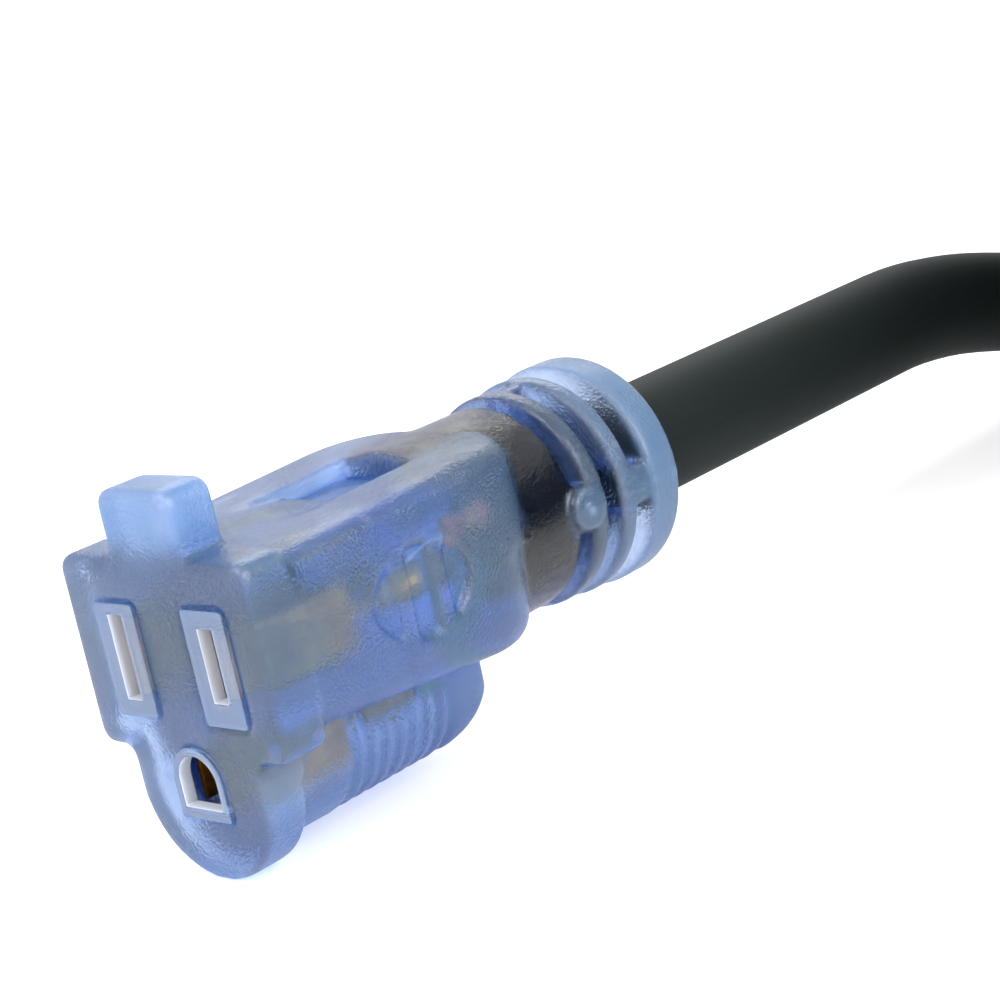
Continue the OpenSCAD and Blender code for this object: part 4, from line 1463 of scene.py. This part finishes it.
@dataclass
class Plug:
    """The moulded plug on the cord's far end, lying on its flat top. Sizes are millimetres."""

    x: float = 165.0
    face_y: float = 96.0
    z: float = 81.0
    length: float = 58.0
    seat: float = 25.0
    cord_r: float = 6.5
    cast_play: float = 0.2
    neck_start: float = 20.0
    body_half: float = 10.2
    body_bottom: float = 6.6
    body_top: float = 5.2
    body_l: float = 25.5
    body_edge: float = 2.4
    ground_rise: float = 11.9
    ground_r: float = 4.8
    web_half: float = 3.7

    def place(self, x: float, y: float, z: float) -> tuple[float, float, float]:
        """Turns a point of the plug's face frame into metres in the part's frame."""
        return (self.x + x) * MM, (self.face_y + y) * MM, (self.z + z) * MM

    def build(self) -> list[Piece]:
        """Builds the plug's moulding and everything it carries.

        Returns:
            The pieces.
        """
        return [
            self.shell(),
            refined("plug_bridge", BRIDGE, "bridge_resin", edge_mm=0.2),
            refined("neutral_blade", BLADE_METAL, "blade_brass", edge_mm=0.15),
            refined("hot_blade", BLADE_METAL, "blade_brass", edge_mm=0.15),
            refined("ground_pin", BLADE_METAL, "blade_brass"),
            refined("plug_neutral_wire", WHITE_CORE, "white_insulation"),
            refined("plug_hot_wire", BLACK_CORE, "black_insulation"),
            refined("plug_ground_wire", GREEN_CORE, "green_insulation"),
            refined("plug_cord_end", JACKET_END, "cord_jacket", edge_mm=0.4),
        ]

    def shell(self) -> Piece:
        """Builds the outer moulding, solid round the bridge and the cord.

        Returns:
            The piece.
        """
        form = MouldedForm("plug_shell")
        at, end, top = form.at, self.body_l, self.ground_rise
        x, y, z = self.place(0, 0, 0)
        low = self.place(-self.body_half, 0, -self.body_bottom)
        form.fill(
            block(at, low, self.place(self.body_half, end, self.body_top), self.body_edge * MM),
            rod_y(at, x, self.place(0, 0, top)[2], self.ground_r * MM, y, self.place(0, end, 0)[1]),
            block(at, self.place(-self.web_half, 0, 0), self.place(self.web_half, end, top)),
            self.cord(at, self.neck_start, self.cast_play),
        )
        form.round_edges()
        form.soften()
        mesh = form.mesh("plug_shell_form", SHELL_VINYL)
        cord = self.cord(places_of(mesh.vertices, "co"), self.seat)
        Milkiness().mark(mesh, 1.0, cord, cord)
        return new_piece("plug_shell_form", mesh, "clear_blue_vinyl", "plug_shell")

    def cord(self, at: Places, start: float, wider: float = 0.0) -> np.ndarray:
        """Returns how far places are from the cord's end, from a start behind the plug's face."""
        x, y, z = self.place(0, start, 0)
        return rod_y(at, x, z, (self.cord_r + wider) * MM, y, self.place(0, self.length, 0)[1])


# -------------------- studio


class Background(Enum):
    """How strongly the surroundings show to each kind of ray."""

    SEEN = 1.0
    LIGHT = 0.95


@dataclass
class Lamp:
    """A soft square studio lamp aimed at the connector."""

    name: str
    at: tuple[float, float, float]
    size: float
    power: float
    aim: tuple[float, float, float] = (0.0, 0.0, 0.02)

    def build(self) -> None:
        """Adds the lamp to the scene."""
        light = bpy.data.lights.new(self.name, "AREA")
        light.shape = "SQUARE"
        light.size = self.size
        light.energy = self.power
        lamp = put(self.name, light)
        lamp.location = self.at
        lamp.rotation_euler = (Vector(self.aim) - Vector(self.at)).to_track_quat("-Z", "Y").to_euler()


@dataclass
class Studio:
    """Camera, pale floor, surroundings and lamps. Sizes are metres, and the lens is in millimetres."""

    eye: tuple[float, float, float] = (0.1715, -0.1542, 0.0824)
    right: tuple[float, float, float] = (0.72373, 0.65982, -0.20212)
    down: tuple[float, float, float] = (0.02200, -0.31480, -0.94890)
    ahead: tuple[float, float, float] = (-0.68974, 0.68230, -0.24234)
    lens: float = 86.4
    floor_half: float = 4.0
    floor_shade: float = 0.95
    floor_lift: float = 0.27
    lamps: tuple[Lamp, ...] = (
        Lamp("Key_lamp", (0.1, -0.7, 0.9), 0.7, 8.0),
        Lamp("Side_lamp", (0.9, 0.1, 0.5), 0.6, 9.0),
        Lamp("Back_lamp", (-0.5, 0.6, 0.7), 0.6, 3.0),
    )

    def camera(self) -> None:
        """Adds the camera."""
        data = bpy.data.cameras.new("Camera")
        data.lens = self.lens
        data.sensor_width = 36.0
        data.clip_start = 0.01
        data.clip_end = 50.0
        camera = put("Camera", data)
        columns = [Vector(self.right), -Vector(self.down), -Vector(self.ahead)]
        turn = Matrix(columns).transposed().to_4x4()
        camera.matrix_world = Matrix.Translation(self.eye) @ turn
        bpy.context.scene.camera = camera

    def floor(self) -> None:
        """Adds the plain pale floor, which the camera sees a little lighter than it is."""
        h, shade = self.floor_half, self.floor_shade
        made = bpy.data.materials.new("Pale_studio_floor")
        tree = emptied(made)
        shader = add(tree, "ShaderNodeBsdfDiffuse", {"Color": (shade, shade, shade, 1.0)})
        seen = add(tree, "ShaderNodeLightPath").outputs["Is Camera Ray"]
        lift = add(tree, "ShaderNodeMapRange", {"Value": seen, "To Max": self.floor_lift})
        glow = add(tree, "ShaderNodeEmission", {"Strength": lift})
        both = add(tree, "ShaderNodeAddShader", {0: shader, 1: glow})
        add(tree, "ShaderNodeOutputMaterial", {"Surface": both})
        corners = [(-h, -h, 0), (h, -h, 0), (h, h, 0), (-h, h, 0)]
        put("studio_floor", mesh_from("studio_floor", corners, [(0, 1, 2, 3)], made))

    def surroundings(self) -> None:
        """Sets the world: white to the eye, in gloss and through glass, and a softer light elsewhere."""
        world = bpy.data.worlds.new("Studio_world")
        bpy.context.scene.world = world
        tree = emptied(world)
        path = add(tree, "ShaderNodeLightPath").outputs
        seen = path["Is Camera Ray"]
        for name in ("Is Glossy Ray", "Is Transmission Ray"):
            seen = add(tree, "ShaderNodeMath", {0: seen, 1: path[name]}, operation="MAXIMUM")
        ends = {"To Min": Background.LIGHT.value, "To Max": Background.SEEN.value}
        strength = add(tree, "ShaderNodeMapRange", {"Value": seen} | ends)
        shader = add(tree, "ShaderNodeBackground", {"Color": linear(WHITE), "Strength": strength})
        add(tree, "ShaderNodeOutputWorld", {"Surface": shader})

    def build(self) -> None:
        """Adds everything round the object."""
        self.floor()
        self.surroundings()
        for lamp in self.lamps:
            lamp.build()
        bpy.context.scene.view_settings.view_transform = "Standard"


def main() -> None:
    """Builds the camera and the cord first, then the pieces at both ends and the studio."""
    logging.basicConfig(level=logging.INFO, format="%(message)s")
    studio = Studio()
    studio.camera()
    run = CordRun()
    cord = run.build()
    on_cord = []
    for number, angle in enumerate(TIE_ANGLES, 1):
        on_cord += CoilTie(number, angle, run).build()
    on_cord += Plug().build()
    run.declare()
    Connector().build()
    studio.build()
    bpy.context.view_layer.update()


if __name__ == "__main__":
    main()
